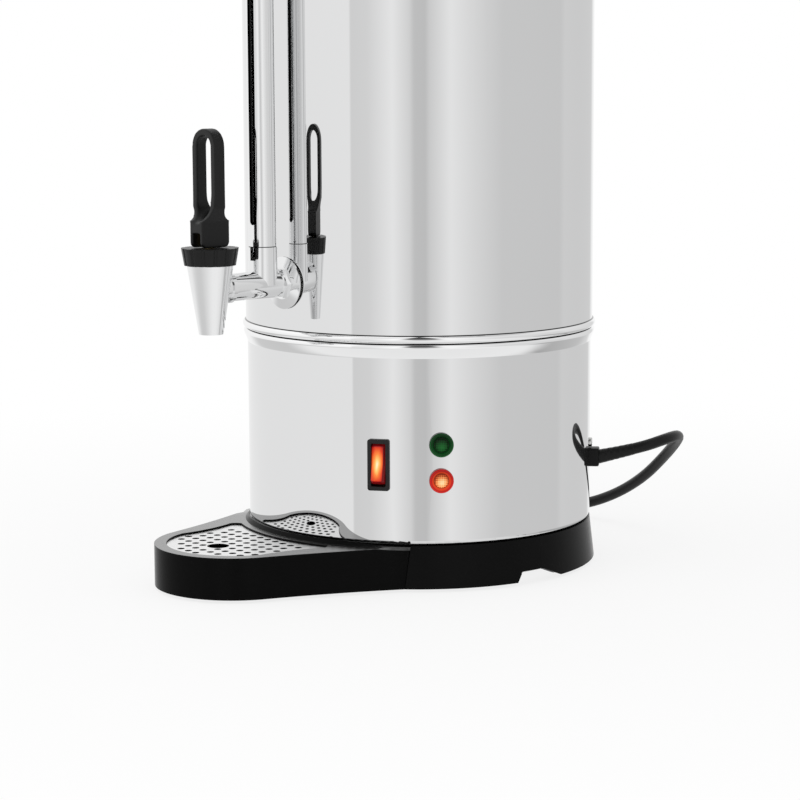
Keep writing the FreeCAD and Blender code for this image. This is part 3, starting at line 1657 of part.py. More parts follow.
def basket_cover():
    """The spreader that lies on the basket and showers the coffee."""
    wall, sleeve = s.basket_wall, s.tube_radius + s.sleeve_gap
    top = basket_top + s.spreader_gap
    floor = top - s.spreader_depth
    dish = s.basket_radius - wall - s.sleeve_gap * 2
    stock = turned("spreader_stock", [
        (sleeve, floor),
        (dish, floor),
        (dish, top),
        (s.basket_radius + s.basket_rim, top),
        (s.basket_radius + s.basket_rim, top + wall),
        (dish - wall, top + wall),
        (dish - wall, floor + wall),
        (sleeve + wall, floor + wall),
        (sleeve + wall, top + s.spreader_depth),
        (sleeve, top + s.spreader_depth),
    ])
    return cut("basket_cover", stock, perforations("spreader_hole", floor))


# Drip tray

tray_top = base_top - s.tray_below_top
tray_back = rail_radius + s.tray_gap
nose_centre = base_radius + s.nose_out
grid_back_radius = rail_radius + s.grid_back
grid_corner_y = nose_centre - s.grid_side_length
drain_reach = nose_centre + s.drain_out
grid_level = tray_top - s.grid_recess - s.grid_thick


def tray_outline():
    """The tray from above: a round nose, hollow flanks and a back that fits round the rail."""
    start_x = s.nose_radius * cosine(s.flank_angle)
    start_y = -nose_centre - s.nose_radius * sine(s.flank_angle)
    wing_y = -leg(base_radius, s.tray_half_width)
    back_y = -leg(tray_back, s.tray_half_width)
    return [
        (s.tray_half_width, back_y),
        right(0, -tray_back, tray_back),
        right(-s.tray_half_width, back_y, tray_back),
        (-s.tray_half_width, wing_y),
        right(-start_x, start_y, s.flank_radius),
        left(0, -nose_centre - s.nose_radius, s.nose_radius),
        left(start_x, start_y, s.nose_radius),
        right(s.tray_half_width, wing_y, s.flank_radius),
    ]


def grid_outline(gap):
    """The grid from above, made larger all round by a gap."""
    nose = s.nose_radius - s.grid_border + gap
    start_x, start_y = nose * cosine(s.flank_angle), -nose_centre - nose * sine(s.flank_angle)
    corner_x, corner_y = s.grid_corner_x + gap, -grid_corner_y
    back_x, back_radius = s.grid_back_x + gap, grid_back_radius - gap
    back_y = -leg(back_radius, back_x)
    side, turn = s.grid_side_radius, s.grid_corner_round
    return [
        left(0, -nose_centre - nose, nose),
        left(start_x, start_y, nose),
        right(corner_x, corner_y, side),
        left(back_x, back_y, turn),
        right(0, -back_radius, back_radius),
        right(-back_x, back_y, back_radius),
        left(-corner_x, corner_y, turn),
        right(-start_x, start_y, side),
    ]


def drip_tray():
    shell = padded("tray_shell", tray_top - s.foot_proud, outline=tray_outline(), lift=s.foot_proud)
    recess = padded("tray_recess", s.base_height, outline=grid_outline(s.grid_gap), lift=grid_level - s.grid_lift_gap)
    basin = padded("tray_basin", s.base_height, outline=grid_outline(-s.grid_ledge),
                   lift=s.foot_proud + s.tray_floor)
    inner = s.shell_radius + s.ridge_gap
    ridge = turned("tray_ridge", sweep=s.ridge_angle, outline=[
        (inner, tray_top - s.ridge_root),
        (inner + s.ridge_width, tray_top - s.ridge_root),
        (inner + s.ridge_width, tray_top),
        (inner + s.ridge_top, tray_top + s.ridge_height),
        (inner, tray_top + s.ridge_height),
    ])
    place(ridge, yaw=-90)
    whole = cut("drip_tray", joined("tray_stock", [shell, ridge]), [recess, basin])
    return place(whole, yaw=-s.tray_turn)


def tray_grid():
    """The steel grid, with staggered rows of holes and a drain under the spout."""
    nose = s.nose_radius - s.grid_border
    holes = [(0, -drain_reach, s.drain_radius)]
    first_row = -nose_centre - nose + s.hole_margin * 2
    rows = int((nose_centre + nose - grid_back_radius).value // s.hole_row.value)
    for row in range(rows):
        y = first_row + s.hole_row * row
        shift = 0.5 * (row % 2)
        for column in range(-8, 9):
            x = s.hole_pitch * (column + shift)
            if on_grid(x.value, y.value, nose.value):
                holes.append((x, y, s.hole_radius))
    grid = padded("tray_grid", s.grid_thick, outline=grid_outline(size(0)), holes=holes, lift=grid_level)
    return place(grid, yaw=-s.tray_turn)


def on_grid(x, y, nose):
    """Whether a hole here keeps its margin from the grid's edges and from the drain."""
    margin = s.hole_margin.value + s.hole_radius.value
    along = (y + nose_centre.value) / (nose_centre - grid_corner_y).value
    side = nose + (s.grid_corner_x.value - nose) * along - s.hole_radius.value
    inside = abs(x) < side - margin
    if y < -nose_centre.value:
        inside = math.hypot(x, y + nose_centre.value) < nose - margin
    clear_back = math.hypot(x, y) > grid_back_radius.value + s.hole_radius.value + 1
    from_drain = math.hypot(x, y + drain_reach.value)
    return inside and clear_back and from_drain > s.drain_radius.value + s.hole_radius.value + 1


def tray_pads():
    """Rubber pads under the tray."""
    spots = ((0, -nose_centre - s.nose_radius * 0.75), (-s.nose_radius, -base_radius),
             (s.nose_radius, -base_radius))
    pads = [place(rod(f"tray_pad_{number}", s.pad_radius, s.foot_proud - s.pad_lift), x, y, s.pad_lift)
            for number, (x, y) in enumerate(spots)]
    return place(group("tray_pads", pads), yaw=-s.tray_turn)


# Supply cord: the run from the outlet, the coil behind the urn, its tie and the plug

def cord_start():
    reach = s.shell_radius + s.gland_proud
    return V(out_x(reach, s.gland_azimuth).value, out_y(reach, s.gland_azimuth).value, gland_level.value)


def cord_route():
    """Points of the cord from the outlet down to the floor and to the coil."""
    return [
        cord_start(),
        V(104.9, 90.5, 63.8),
        V(110.0, 110.2, 65.0),
        V(102.7, 128.9, 64.5),
        V(87.5, 144.1, 60.0),
        V(66.0, 156.1, 49.0),
        V(40.8, 164.1, 34.0),
        V(13.0, 167.7, 19.0),
        V(-15.2, 166.3, 8.0),
        V(-41.0, 158.7, 3.8),
        coil_end(0) - coil_heading(0) * 31,
        coil_end(0),
    ]


def bent(route, radius):
    """A tube along straight runs joined by arcs as large as the runs allow."""
    edges, here = [], route[0]
    radii = []
    for index in range(1, len(route) - 1):
        back, ahead = route[index - 1] - route[index], route[index + 1] - route[index]
        half_turn = (math.pi - back.getAngle(ahead)) / 2
        trim = 0.45 * min(back.Length, ahead.Length)
        radii.append(trim / math.tan(half_turn))
        first, last = route[index] + unit(back) * trim, route[index] + unit(ahead) * trim
        edges.append(Part.LineSegment(here, first).toShape())
        edges.append(arc_to(first, unit(-back), last))
        here = last
    edges.append(Part.LineSegment(here, route[-1]).toShape())
    print("cord bends", " ".join("%.0f" % bend for bend in radii))
    tube = swept(edges, radius)
    length = sum(edge.Length for edge in edges)
    print("cord run %.0f long, volume off by %.4f" % (length, tube.Volume / (math.pi * radius ** 2 * length) - 1))
    return tube


def cord_run():
    run = document.addObject("Part::Feature", "cord_run")
    run.Shape = bent(cord_route(), s.cord_radius.value)
    return run


coil_turns_in, coil_turns_over, coil_turns_out = 1.5, 0.5, 1.25
coil_turns = coil_turns_in + coil_turns_over + coil_turns_out


def coil_point(turns):
    """A point of the coil after some turns, from where the run reaches it.

    It winds inward on the floor, climbs a layer where it turns back, and winds outward on top.
    """
    lying, inmost = s.cord_radius.value, s.coil_outer.value - coil_turns_in * s.coil_pitch.value
    inward = min(turns, coil_turns_in)
    over = min(max(turns - coil_turns_in, 0), coil_turns_over)
    outward = max(turns - coil_turns_in - coil_turns_over, 0)
    radius = inmost + (coil_turns_in - inward + outward) * s.coil_pitch.value
    level = lying + s.coil_layer.value * over / coil_turns_over
    turn = math.radians(s.coil_start.value) - 2 * math.pi * turns
    return V(s.coil_x.value + radius * math.cos(turn), s.coil_y.value + radius * math.sin(turn), level)


def coil_heading(turns):
    tiny = 1e-4
    heading = coil_point(turns + tiny) - coil_point(turns - tiny)
    if turns in (0, coil_turns):
        heading.z = 0
    return unit(heading)


def coil_end(turns):
    """Where the coil's straight end meets the next stretch: before its first turn or past its last."""
    away = -1 if turns == 0 else 1
    return coil_point(turns) + coil_heading(turns) * (away * 2 * s.cord_radius.value)


def cord_coil():
    """The length put away behind the urn, one unbroken tube with straight ends."""
    marks = [step / 4 for step in range(int(coil_turns * 4) + 1)]
    edges = winding([coil_point(turns) for turns in marks], [coil_heading(turns) for turns in marks])
    first = Part.LineSegment(coil_end(0), coil_point(0)).toShape()
    last = Part.LineSegment(coil_point(coil_turns), coil_end(coil_turns)).toShape()
    curve = [coil_point(step / 36) for step in range(int(coil_turns * 36) + 1)]
    print("coil gap %.2f" % least_gap(curve, 36, s.cord_radius.value))
    print("coil %.0f long" % sum(edge.Length for edge in edges))
    coil = document.addObject("Part::Feature", "cord_coil")
    coil.Shape = swept([first] + edges + [last], s.cord_radius.value)
    return coil


def plug_rear_point():
    return V(s.plug_x.value, s.plug_y.value, s.plug_radius.value)


def plug_heading():
    return V(cosine(s.plug_azimuth).value, sine(s.plug_azimuth).value, 0)


def cord_tail():
    """The last stretch, from the top of the coil to the plug."""
    start = coil_end(coil_turns)
    rear, heading = plug_rear_point(), plug_heading()
    route = [start, start + coil_heading(coil_turns) * 18, rear - heading * 17, rear]
    tail = document.addObject("Part::Feature", "cord_tail")
    tail.Shape = bent(route, s.cord_radius.value)
    return tail


def at_plug(thing, along):
    """Put a piece turned about its own Z on the plug's axis, some way past the plug's rear."""
    x, y = s.plug_x + along * cosine(s.plug_azimuth), s.plug_y + along * sine(s.plug_azimuth)
    return place(thing, x, y, s.plug_radius, yaw=s.plug_azimuth, pitch=90)


def plug_body():
    """The round mains plug: a ribless sleeve, a shoulder, and a flat face with two earth grooves."""
    sleeve, wide = s.plug_rear, s.plug_radius
    high, neck = s.plug_length, s.plug_neck
    stock = turned("plug_stock", [
        (s.cord_radius + s.screw_fit, s.plug_grip),
        (s.cord_radius + s.screw_fit, 0),
        (sleeve * 0.75, 0),
        (sleeve, neck),
        right(wide - s.plug_grip, neck + s.plug_flare, s.plug_flare * 4 / 3),
        left(wide, neck + s.plug_flare + s.plug_shoulder, s.plug_shoulder * 1.5),
        (wide, neck + high - s.plug_edge),
        left(wide - s.plug_edge, neck + high, s.plug_edge),
        (0, neck + high),
        (0, s.plug_grip),
    ])
    tools = [place(box(f"earth_groove_{number}", s.plug_groove_width, s.plug_groove_depth * 2, high), 0, side * wide,
                   neck + high * 0.6)
             for number, side in enumerate((-1, 1))]
    for number, side in enumerate((-1, 1)):
        hole = rod(f"plug_pin_hole_{number}", s.plug_root_radius, s.plug_pin_root)
        tools.append(place(hole, side * s.plug_pin_spacing / 2, 0, neck + high - s.plug_pin_root))
    return at_plug(cut("plug_body", stock, tools), 0)


def plug_pins():
    """The two contact pins; their roots, in the plug, are thinner."""
    pins = []
    root, length = s.plug_pin_root, s.plug_pin_root + s.plug_pin_length
    tip = s.plug_pin_radius * 0.6
    for number, side in enumerate((-1, 1)):
        pin = turned(f"plug_pin_{number}", [
            (0, 0),
            (s.plug_root_radius, 0),
            (s.plug_root_radius, root),
            (s.plug_pin_radius, root),
            (s.plug_pin_radius, length - tip),
            left(s.plug_pin_radius - tip, length, tip),
            (0, length),
        ])
        pins.append(place(pin, side * s.plug_pin_spacing / 2, 0, 0))
    return at_plug(group("plug_pins", pins), s.plug_neck + s.plug_length - s.plug_pin_root)


nodes = [
    base_ring(), bottom_cover(), cover_screws(), foot_ring(),
    lower_shell(), tank(), tank_bottom(), well_heater(), warm_heater(), heater_clips(), thermostats(),
    thermal_cutout(), tie_rods(), rod_nuts(), terminal_block(), earth_stud(),
    switch_housing(), switch_rocker(), lamp("lamp_green", s.green_rise), lamp("lamp_red", s.red_rise),
    lamp_nuts(), cord_gland(), gland_nut(), panel_screw(),
    tap_tee(), tap_flange(), outer_gasket(), inner_gasket(), shank_nut(),
    gauge_tube(), gauge_shield(), gauge_cap(), gauge_seals(),
    spout_body(), bonnet(), valve_stem(), seat_cup(), lever_pin(), lever(), valve_spring(),
    side_handle("handle_right", 1), side_handle("handle_left", -1), handle_screws(),
    lid(), lid_knob(), knob_screw(),
    perc_tube(), filter_basket(), basket_cover(),
    drip_tray(), tray_grid(), tray_pads(),
    cord_run(), cord_coil(), cord_tail(), plug_body(), plug_pins(),
]

document.recompute()
for thing in document.Objects:
    if "Invalid" in thing.State or "Error" in thing.State:
        raise RuntimeError(f"{thing.Label} failed: {thing.State}")
for node in nodes:
    if node.Shape.isNull() or not node.Shape.isValid():
        raise RuntimeError(f"{node.Label} has no valid shape")

os.makedirs("parts", exist_ok=True)
for node in nodes:
    node.Shape.exportStep(f"parts/{node.Label}.step")
print(len(nodes), "nodes written")
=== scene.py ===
import math

import bmesh
import bpy
import numpy as np
from mathutils import Matrix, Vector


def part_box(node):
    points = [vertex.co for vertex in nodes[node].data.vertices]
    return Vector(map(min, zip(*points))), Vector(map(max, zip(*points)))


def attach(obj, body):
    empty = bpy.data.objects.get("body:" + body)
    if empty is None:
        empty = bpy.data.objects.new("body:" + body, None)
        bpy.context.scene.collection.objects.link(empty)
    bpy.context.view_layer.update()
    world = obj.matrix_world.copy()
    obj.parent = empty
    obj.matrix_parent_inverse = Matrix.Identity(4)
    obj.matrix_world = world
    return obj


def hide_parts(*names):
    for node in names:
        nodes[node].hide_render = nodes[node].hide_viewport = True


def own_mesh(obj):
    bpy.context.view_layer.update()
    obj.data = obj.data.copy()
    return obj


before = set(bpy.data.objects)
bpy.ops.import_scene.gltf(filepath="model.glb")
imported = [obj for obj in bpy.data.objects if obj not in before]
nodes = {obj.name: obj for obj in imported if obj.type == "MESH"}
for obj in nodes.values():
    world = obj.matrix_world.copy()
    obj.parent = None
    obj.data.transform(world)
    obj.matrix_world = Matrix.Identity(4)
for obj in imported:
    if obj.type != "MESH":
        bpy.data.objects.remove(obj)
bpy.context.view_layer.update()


# Camera: stands to the right of the tap, a little above the middle of the urn, and looks
# slightly down at it through a long lens.
camera_place = (1.1112, -1.0076, 0.31695)
camera_yaw, camera_dip, camera_roll = 48.2622, 8.2914, -0.2452
sensor_width, focal_length = 36.0, 108.555

view = bpy.data.cameras.new("camera")
view.sensor_width = sensor_width
view.lens = focal_length
camera = bpy.data.objects.new("camera", view)
camera.matrix_world = (
    Matrix.Translation(camera_place)
    @ Matrix.Rotation(math.radians(camera_yaw), 4, "Z")
    @ Matrix.Rotation(math.radians(90 - camera_dip), 4, "X")
    @ Matrix.Rotation(math.radians(camera_roll), 4, "Z")
)
bpy.context.scene.collection.objects.link(camera)
bpy.context.scene.camera = camera
bpy.context.scene.view_settings.view_transform = "Standard"


# Supply cord: a round black mains lead, 7 mm thick. It leaves the outlet on the right, drops
# to the table behind the urn, is wound there into a flat coil, and ends in a plug beside it.
cord_radius = 0.0035
cord_run = [
    (0.08554, 0.07384, 0.0644),
    (0.1052, 0.0900, 0.0703),
    (0.1105, 0.1100, 0.0750),
    (0.1027, 0.1289, 0.0740),
    (0.0875, 0.1441, 0.0665),
    (0.0660, 0.1561, 0.0525),
    (0.0408, 0.1641, 0.0345),
    (0.0130, 0.1677, 0.0190),
    (-0.0152, 0.1663, 0.0080),
    (-0.0410, 0.1587, 0.0038),
    (-0.0669, 0.1389, 0.0035),
]
cord_tail = [
    (-0.1621, 0.1145, 0.0112),
    (-0.1758, 0.1261, 0.0120),
    (-0.1890, 0.1437, 0.0190),
    (-0.1962, 0.1591, 0.0190),
]
coil_middle = (-0.1273, 0.1424)
coil_start = math.radians(-42.2)
coil_outer, coil_pitch, coil_layer = 0.046, 0.0087, 0.0077
turns_in, turns_over, turns_out = 1.5, 0.5, 1.25
points_a_turn = 16


def coil_points():
    """Points of the coil: angle falls evenly, radius shrinks by one pitch a turn on the table,
    keeps still while the turn climbs one layer, and grows by one pitch a turn on top."""
    turns = np.arange(0, turns_in + turns_over + turns_out + 1e-6, 1 / points_a_turn)
    inward = np.minimum(turns, turns_in)
    over = np.clip(turns - turns_in, 0, turns_over)
    outward = np.clip(turns - turns_in - turns_over, 0, None)
    radius = coil_outer + coil_pitch * (outward - inward)
    angle = coil_start - 2 * np.pi * turns
    level = cord_radius + coil_layer * over / turns_over
    return np.column_stack([
        coil_middle[0] + radius * np.cos(angle),
        coil_middle[1] + radius * np.sin(angle),
        level,
    ]).tolist()


def add_curve(name, points):
    """A smooth open NURBS curve with these control points, which starts and ends on them."""
    curve = bpy.data.curves.new(name, "CURVE")
    curve.dimensions = "3D"
    spline = curve.splines.new("NURBS")
    spline.points.add(len(points) - 1)
    for knot, point in zip(spline.points, points):
        knot.co = (*point, 1.0)
    spline.order_u = 3
    spline.use_endpoint_u = True
    spline.resolution_u = 8
    curve.use_fill_caps = True
    piece = bpy.data.objects.new(name, curve)
    bpy.context.scene.collection.objects.link(piece)
    return piece


def curve_path(piece):
    """Points along a curve that has no thickness yet, in order."""
    bpy.context.view_layer.update()
    line = bpy.data.meshes.new_from_object(piece)
    path = np.array([vertex.co for vertex in line.vertices])
    bpy.data.meshes.remove(line)
    return path


class Wire:
    """An output socket of a shader tree; arithmetic on it adds Math nodes."""

    def __init__(self, finish, socket):
        self.finish = finish
        self.socket = socket

    def math(self, operation, *values):
        return self.finish.node("ShaderNodeMath", {"operation": operation}, dict(enumerate(values)))

    def __add__(self, other):
        return self.math("ADD", self, other)

    def __sub__(self, other):
        return self.math("SUBTRACT", self, other)

    def __rsub__(self, other):
        return self.math("SUBTRACT", other, self)

    def __mul__(self, other):
        return self.math("MULTIPLY", self, other)

    def __truediv__(self, other):
        return self.math("DIVIDE", self, other)

    def __pow__(self, other):
        return self.math("POWER", self, other)

    __radd__ = __add__
    __rmul__ = __mul__


class Finish:
    """A procedural finish that is put together node by node."""

    def __init__(self, name=None, holder=None):
        self.holder = holder or bpy.data.materials.new(name)
        self.holder.use_nodes = True
        self.tree = self.holder.node_tree
        self.tree.nodes.clear()

    def node(self, kind, settings=None, values=None, output=0):
        """Adds a node: its settings first, then the values or links of its sockets."""
        made = self.tree.nodes.new(kind)
        for setting, value in (settings or {}).items():
            if setting == "stops":
                self.set_stops(made.color_ramp, value)
            else:
                setattr(made, setting, value)
        for key, value in (values or {}).items():
            if isinstance(value, Wire):
                self.tree.links.new(value.socket, made.inputs[key])
            else:
                made.inputs[key].default_value = value
        return Wire(self, made.outputs[output]) if made.outputs else None

    def set_stops(self, ramp, stops):
        while len(ramp.elements) < len(stops):
            ramp.elements.new(1.0)
        for element, (position, colour) in zip(ramp.elements, stops):
            element.position = position
            element.color = colour if isinstance(colour, tuple) else (colour, colour, colour, 1)

    def place(self, stretch=(1, 1, 1), centre=(0, 0, 0), turn=(0, 0, 0)):
        """Object coordinates, centred, turned and stretched."""
        spot = self.node("ShaderNodeTexCoord", output="Object")
        moved = self.node("ShaderNodeMapping", {"vector_type": "TEXTURE"},
                          {"Vector": spot, "Location": centre, "Rotation": turn})
        return self.node("ShaderNodeMapping", {}, {"Vector": moved, "Scale": stretch})

    def split(self, vector):
        """The three numbers of a vector."""
        return [self.node("ShaderNodeSeparateXYZ", {}, {"Vector": vector}, axis) for axis in range(3)]

    def facing(self):
        """The three numbers of the direction that the surface faces."""
        return self.split(self.node("ShaderNodeNewGeometry", output="Normal"))

    def rise(self, value, low, high):
        """0 up to low, 1 from high on, smooth between them."""
        return self.node("ShaderNodeMapRange", {"interpolation_type": "SMOOTHSTEP"},
                         {"Value": value, "From Min": low, "From Max": high})

    def ramp(self, value, stops):
        return self.node("ShaderNodeValToRGB", {"stops": stops}, {"Fac": value})

    def noise(self, scale, detail=2.0, stretch=(1, 1, 1)):
        return self.node("ShaderNodeTexNoise", {},
                         {"Vector": self.place(stretch), "Scale": scale, "Detail": detail})

    def mix(self, factor, first, second):
        return self.node("ShaderNodeMix", {"data_type": "RGBA"},
                         {0: factor, 6: (*first, 1) if isinstance(first, tuple) else first,
                          7: (*second, 1) if isinstance(second, tuple) else second}, 2)

    def bump(self, height, depth, edge):
        """A normal from a height pattern, over corners softened by the edge radius."""
        soft = self.node("ShaderNodeBevel", {"samples": 4}, {"Radius": edge})
        return self.node("ShaderNodeBump", {}, {"Height": height, "Distance": depth, "Normal": soft})

    def surface(self, values):
        """Ends the finish with one shader."""
        shader = self.node("ShaderNodeBsdfPrincipled", {}, values)
        self.node("ShaderNodeOutputMaterial", {}, {"Surface": shader})
        return self.holder


def moulded(name, colour, rough, gloss, grain=1500, depth=0.00001, edge=0.0004, coat_place=None):
    """Moulded plastic or rubber: faint mottling of its colour and sheen, fine grain, soft
    edges, and a clear coat in the places that have one."""
    finish = Finish(name)
    mottle = finish.noise(90, 3)
    fine = finish.noise(grain, 2)
    values = {
        "Base Color": finish.mix(mottle, colour, tuple(min(1.0, part * 1.25) for part in colour)),
        "Roughness": rough * 0.85 + mottle * (rough * 0.3),
        "Specular IOR Level": gloss,
        "Normal": finish.bump(fine, depth, edge),
    }
    if coat_place:
        values["Coat Weight"] = coat_place(finish)
        values["Coat Roughness"] = rough
    return finish.surface(values)


def add_mesh(name, points, faces, finish, smooth=True, crease=None):
    """A piece from an array of points and a list of faces, merged, with faces outwards. It is
    shaded smooth, but not over edges that turn by more than the crease angle in degrees."""
    mesh = bpy.data.meshes.new(name)
    mesh.from_pydata(np.asarray(points, float).reshape(-1, 3).tolist(), [], faces)
    work = bmesh.new()
    work.from_mesh(mesh)
    bmesh.ops.remove_doubles(work, verts=work.verts, dist=1e-7)
    bmesh.ops.recalc_face_normals(work, faces=work.faces)
    work.to_mesh(mesh)
    work.free()
    mesh.polygons.foreach_set("use_smooth", [smooth] * len(mesh.polygons))
    if crease:
        mesh.set_sharp_from_angle(angle=math.radians(crease))
    mesh.materials.append(finish)
    piece = bpy.data.objects.new(name, mesh)
    bpy.context.scene.collection.objects.link(piece)
    return piece


def grid_faces(rows, columns, closed=True):
    """Quads between neighbouring rows of a grid of points whose columns close round."""
    row, column = np.meshgrid(np.arange(rows - 1), np.arange(columns if closed else columns - 1),
                              indexing="ij")
    following = (column + 1) % columns
    corners = [row * columns + column, row * columns + following,
               (row + 1) * columns + following, (row + 1) * columns + column]
    return np.stack(corners, axis=-1).reshape(-1, 4).tolist()


def add_tube(name, path, radius, finish, around=16):
    """A round tube: a circle of the given radius, one for each point, carried along the path."""
    path = np.asarray(path, float)
    radius = np.broadcast_to(radius, len(path))
    ahead = np.gradient(path, axis=0)
    ahead /= np.linalg.norm(ahead, axis=1, keepdims=True)
    aside = np.cross(ahead, (0.0, 0.0, 1.0))
    aside /= np.linalg.norm(aside, axis=1, keepdims=True)
    upward = np.cross(aside, ahead)
    angle = np.linspace(0, 2 * np.pi, around, endpoint=False)
    ring = (aside[:, None] * np.cos(angle)[:, None] + upward[:, None] * np.sin(angle)[:, None])
    points = path[:, None] + ring * radius[:, None, None]
    faces = grid_faces(len(path), around)
    faces.append(list(range(around)))
    faces.append(list(range((len(path) - 1) * around, len(path) * around)))
    return add_mesh(name, points, faces, finish)


cord_finish = moulded("cord_sheath", (0.004, 0.004, 0.004), 0.36, 0.22, grain=900, depth=0.00002)
plug_finish = moulded("plug_plastic", (0.012, 0.012, 0.012), 0.38, 0.35)

cord = add_curve("supply_cord", cord_run + coil_points() + cord_tail)
cord_path = curve_path(cord)
cord.data.bevel_depth = cord_radius
cord.data.bevel_resolution = 5
cord.data.materials.append(cord_finish)
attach(cord, "urn")
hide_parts("cord_run", "cord_coil", "cord_tail")

relief_length, relief_root, relief_tip, relief_rings = 0.022, 0.0044, 0.0036, 6
relief_start = (0.08403, 0.07254, 0.0640)
relief_groove, relief_end_share = 0.00008, 0.9


def add_relief():
    """The tapered sleeve at the outlet: its radius falls evenly along the cord, with a row
    of shallow grooves that let it bend."""
    steps = np.linalg.norm(np.diff(cord_path, axis=0), axis=1)
    run = np.concatenate([[0.0], np.cumsum(steps)])
    along = np.linspace(0, relief_length, 71)
    line = np.column_stack([np.interp(along, run, cord_path[:, axis]) for axis in range(3)])
    line[0] = relief_start
    share = along / relief_length
    groove = relief_groove * (np.cos(share * relief_rings * 2 * np.pi) - 1) * np.sin(share * np.pi)
    radius = relief_root + (relief_tip - relief_root) * share + groove
    radius[-1] = cord_radius * relief_end_share
    return add_tube("cord_relief", line, radius, cord_finish, 32)


relief = add_relief()
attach(relief, "urn")


def dress(finish, *names):
    """Gives CAD nodes their finish."""
    for name in names:
        for slot in nodes[name].material_slots:
            slot.material = finish


dress(plug_finish, "plug_body")


# Metal parts: polished stainless steel for what shows, plain rolled steel for what does not,
# zinc-plated fasteners, chrome and brass. Polishing leaves faint lines round the body.
seam_level, bead_top, seam_half = 0.1467, 0.1514, 0.00042
# Near-black colour of painted shade: the seam lines, inside the gauge's tube and at its joint, and the grid's
# hole walls.
painted_shade_tone = (0.012, 0.012, 0.012)


def painted_shade_line(finish, level):
    """1 on a thin line round the body at a level, where painted shade darkens the seam."""
    height = finish.split(finish.place())[2]
    return 1 - finish.rise(height.math("ABSOLUTE", height - level), seam_half * 0.4, seam_half)


def metal(name, colour, rough, lines=(1, 1, 40), depth=0.0, painted_shade_places=None):
    """Worked metal: faint lines and cloudy patches in its sheen, and painted shade in the places given."""
    finish = Finish(name)
    streak = finish.noise(30, 3, lines)
    cloud = finish.noise(9, 2)
    tone = finish.mix(cloud, tuple(part * 0.975 for part in colour), colour)
    if painted_shade_places:
        # Painted shade: the given places turn near black.
        tone = finish.mix(painted_shade_places(finish), tone, painted_shade_tone)
    values = {
        "Base Color": tone,
        "Metallic": 1.0,
        "Roughness": rough * 0.7 + streak * (rough * 0.35) + cloud * (rough * 0.25),
    }
    if depth:
        values["Normal"] = finish.node("ShaderNodeBump", {}, {"Height": streak, "Distance": depth})
    return finish.surface(values)


def seam_shade_lines(finish):
    """1 on the two thin lines of painted shade where the tank meets the shell and its own bead."""
    return finish.rise(painted_shade_line(finish, seam_level) + painted_shade_line(finish, bead_top), 0.0, 1.0)


def hole_wall_shade(finish):
    """1 on upright faces, the walls of the grid's holes, which get painted shade so the holes look deep."""
    upward = finish.facing()[2]
    return 1 - finish.rise(upward.math("ABSOLUTE", upward), 0.4, 0.8)


polished = metal("polished_steel", (0.78, 0.782, 0.785), 0.014, painted_shade_places=seam_shade_lines)
lid_steel = metal("lid_steel", (0.78, 0.782, 0.785), 0.04)
plain = metal("plain_steel", (0.60, 0.60, 0.60), 0.28)
plated = metal("plated_steel", (0.66, 0.66, 0.65), 0.22, lines=(1, 1, 1))
chrome = metal("tap_chrome", (0.87, 0.873, 0.876), 0.05, lines=(1, 1, 1))
brass = metal("nut_brass", (0.75, 0.58, 0.28), 0.25, lines=(1, 1, 1))
sheath = metal("heater_sheath", (0.45, 0.44, 0.43), 0.35, lines=(1, 1, 1))
# A lighter copy of the polished steel for the beads, which are the same sheet: painted sheen.
bead_sheen_steel = metal("bead_steel_painted_sheen", (0.93, 0.932, 0.935), 0.014, painted_shade_places=seam_shade_lines)
grid_steel = metal("grid_steel", (0.84, 0.84, 0.84), 0.25, lines=(1, 1, 1), painted_shade_places=hole_wall_shade)

dress(polished, "tank", "lower_shell")
dress(lid_steel, "lid")
dress(plain, "tank_bottom", "bottom_cover", "perc_tube", "filter_basket", "basket_cover",
      "heater_clips", "thermostats", "thermal_cutout")
dress(plated, "cover_screws", "tie_rods", "rod_nuts", "earth_stud", "handle_screws",
      "panel_screw", "knob_screw", "lever_pin")
dress(chrome, "tap_tee", "spout_body", "tap_flange")
dress(brass, "shank_nut", "plug_pins", "valve_stem")
dress(sheath, "well_heater", "warm_heater")


# Seam beads: the tank and the shell each end in a bead rolled into the sheet. The tank's is a
# plain half round; the shell's runs out below in a long hollow curve.
shell_wall, tank_wall = 0.1070, 0.1080
shell_bead_low, shell_bead_out, tank_bead_out, bead_cover = 0.1421, 0.0022, 0.0018, 0.00004
flare_low, flare_bend, flare_steps = 0.1380, 1.12, 30
bead_tuck, bead_steps = 0.0004, 384


def half_round(radius, low, high, out, foot=None, count=40):
    """An arc through (radius, low) and (radius, high) that stands out by a given amount. With
    a foot level, the arc starts where a line from the wall at that level touches it."""
    half = (high - low) / 2
    bow = (half * half + out * out) / (2 * out)
    reach = math.asin(half / bow)
    start = -reach
    if foot is not None:
        down, aside = foot - (low + high) / 2, bow - out
        start = math.atan2(down, aside) + math.acos(bow / math.hypot(down, aside))
    angle = np.linspace(start, reach, count)
    return np.column_stack([radius + out - bow + bow * np.cos(angle) + bead_cover,
                            (low + high) / 2 + bow * np.sin(angle)])


def revolved(outline, count, middle=(0.0, 0.0)):
    """Points of an outline of radius and level, turned round an upright axis in even steps."""
    turn = np.linspace(0, 2 * np.pi, count, endpoint=False)
    radius, level = outline[:, :1], outline[:, 1:]
    return np.stack([
        middle[0] + radius * np.cos(turn),
        middle[1] + radius * np.sin(turn),
        level + 0 * turn,
    ], axis=-1)


def add_bead(name, outline):
    """An open outline of radius and level turned round the urn's axis."""
    bead = add_mesh(name, revolved(outline, bead_steps), grid_faces(len(outline), bead_steps), bead_sheen_steel)
    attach(bead, "urn")


tank_bead = half_round(tank_wall, seam_level, bead_top, tank_bead_out)
add_bead("tank_bead", np.vstack([
    [tank_wall - bead_tuck, seam_level],
    tank_bead,
    [tank_wall - bead_tuck, bead_top],
]))

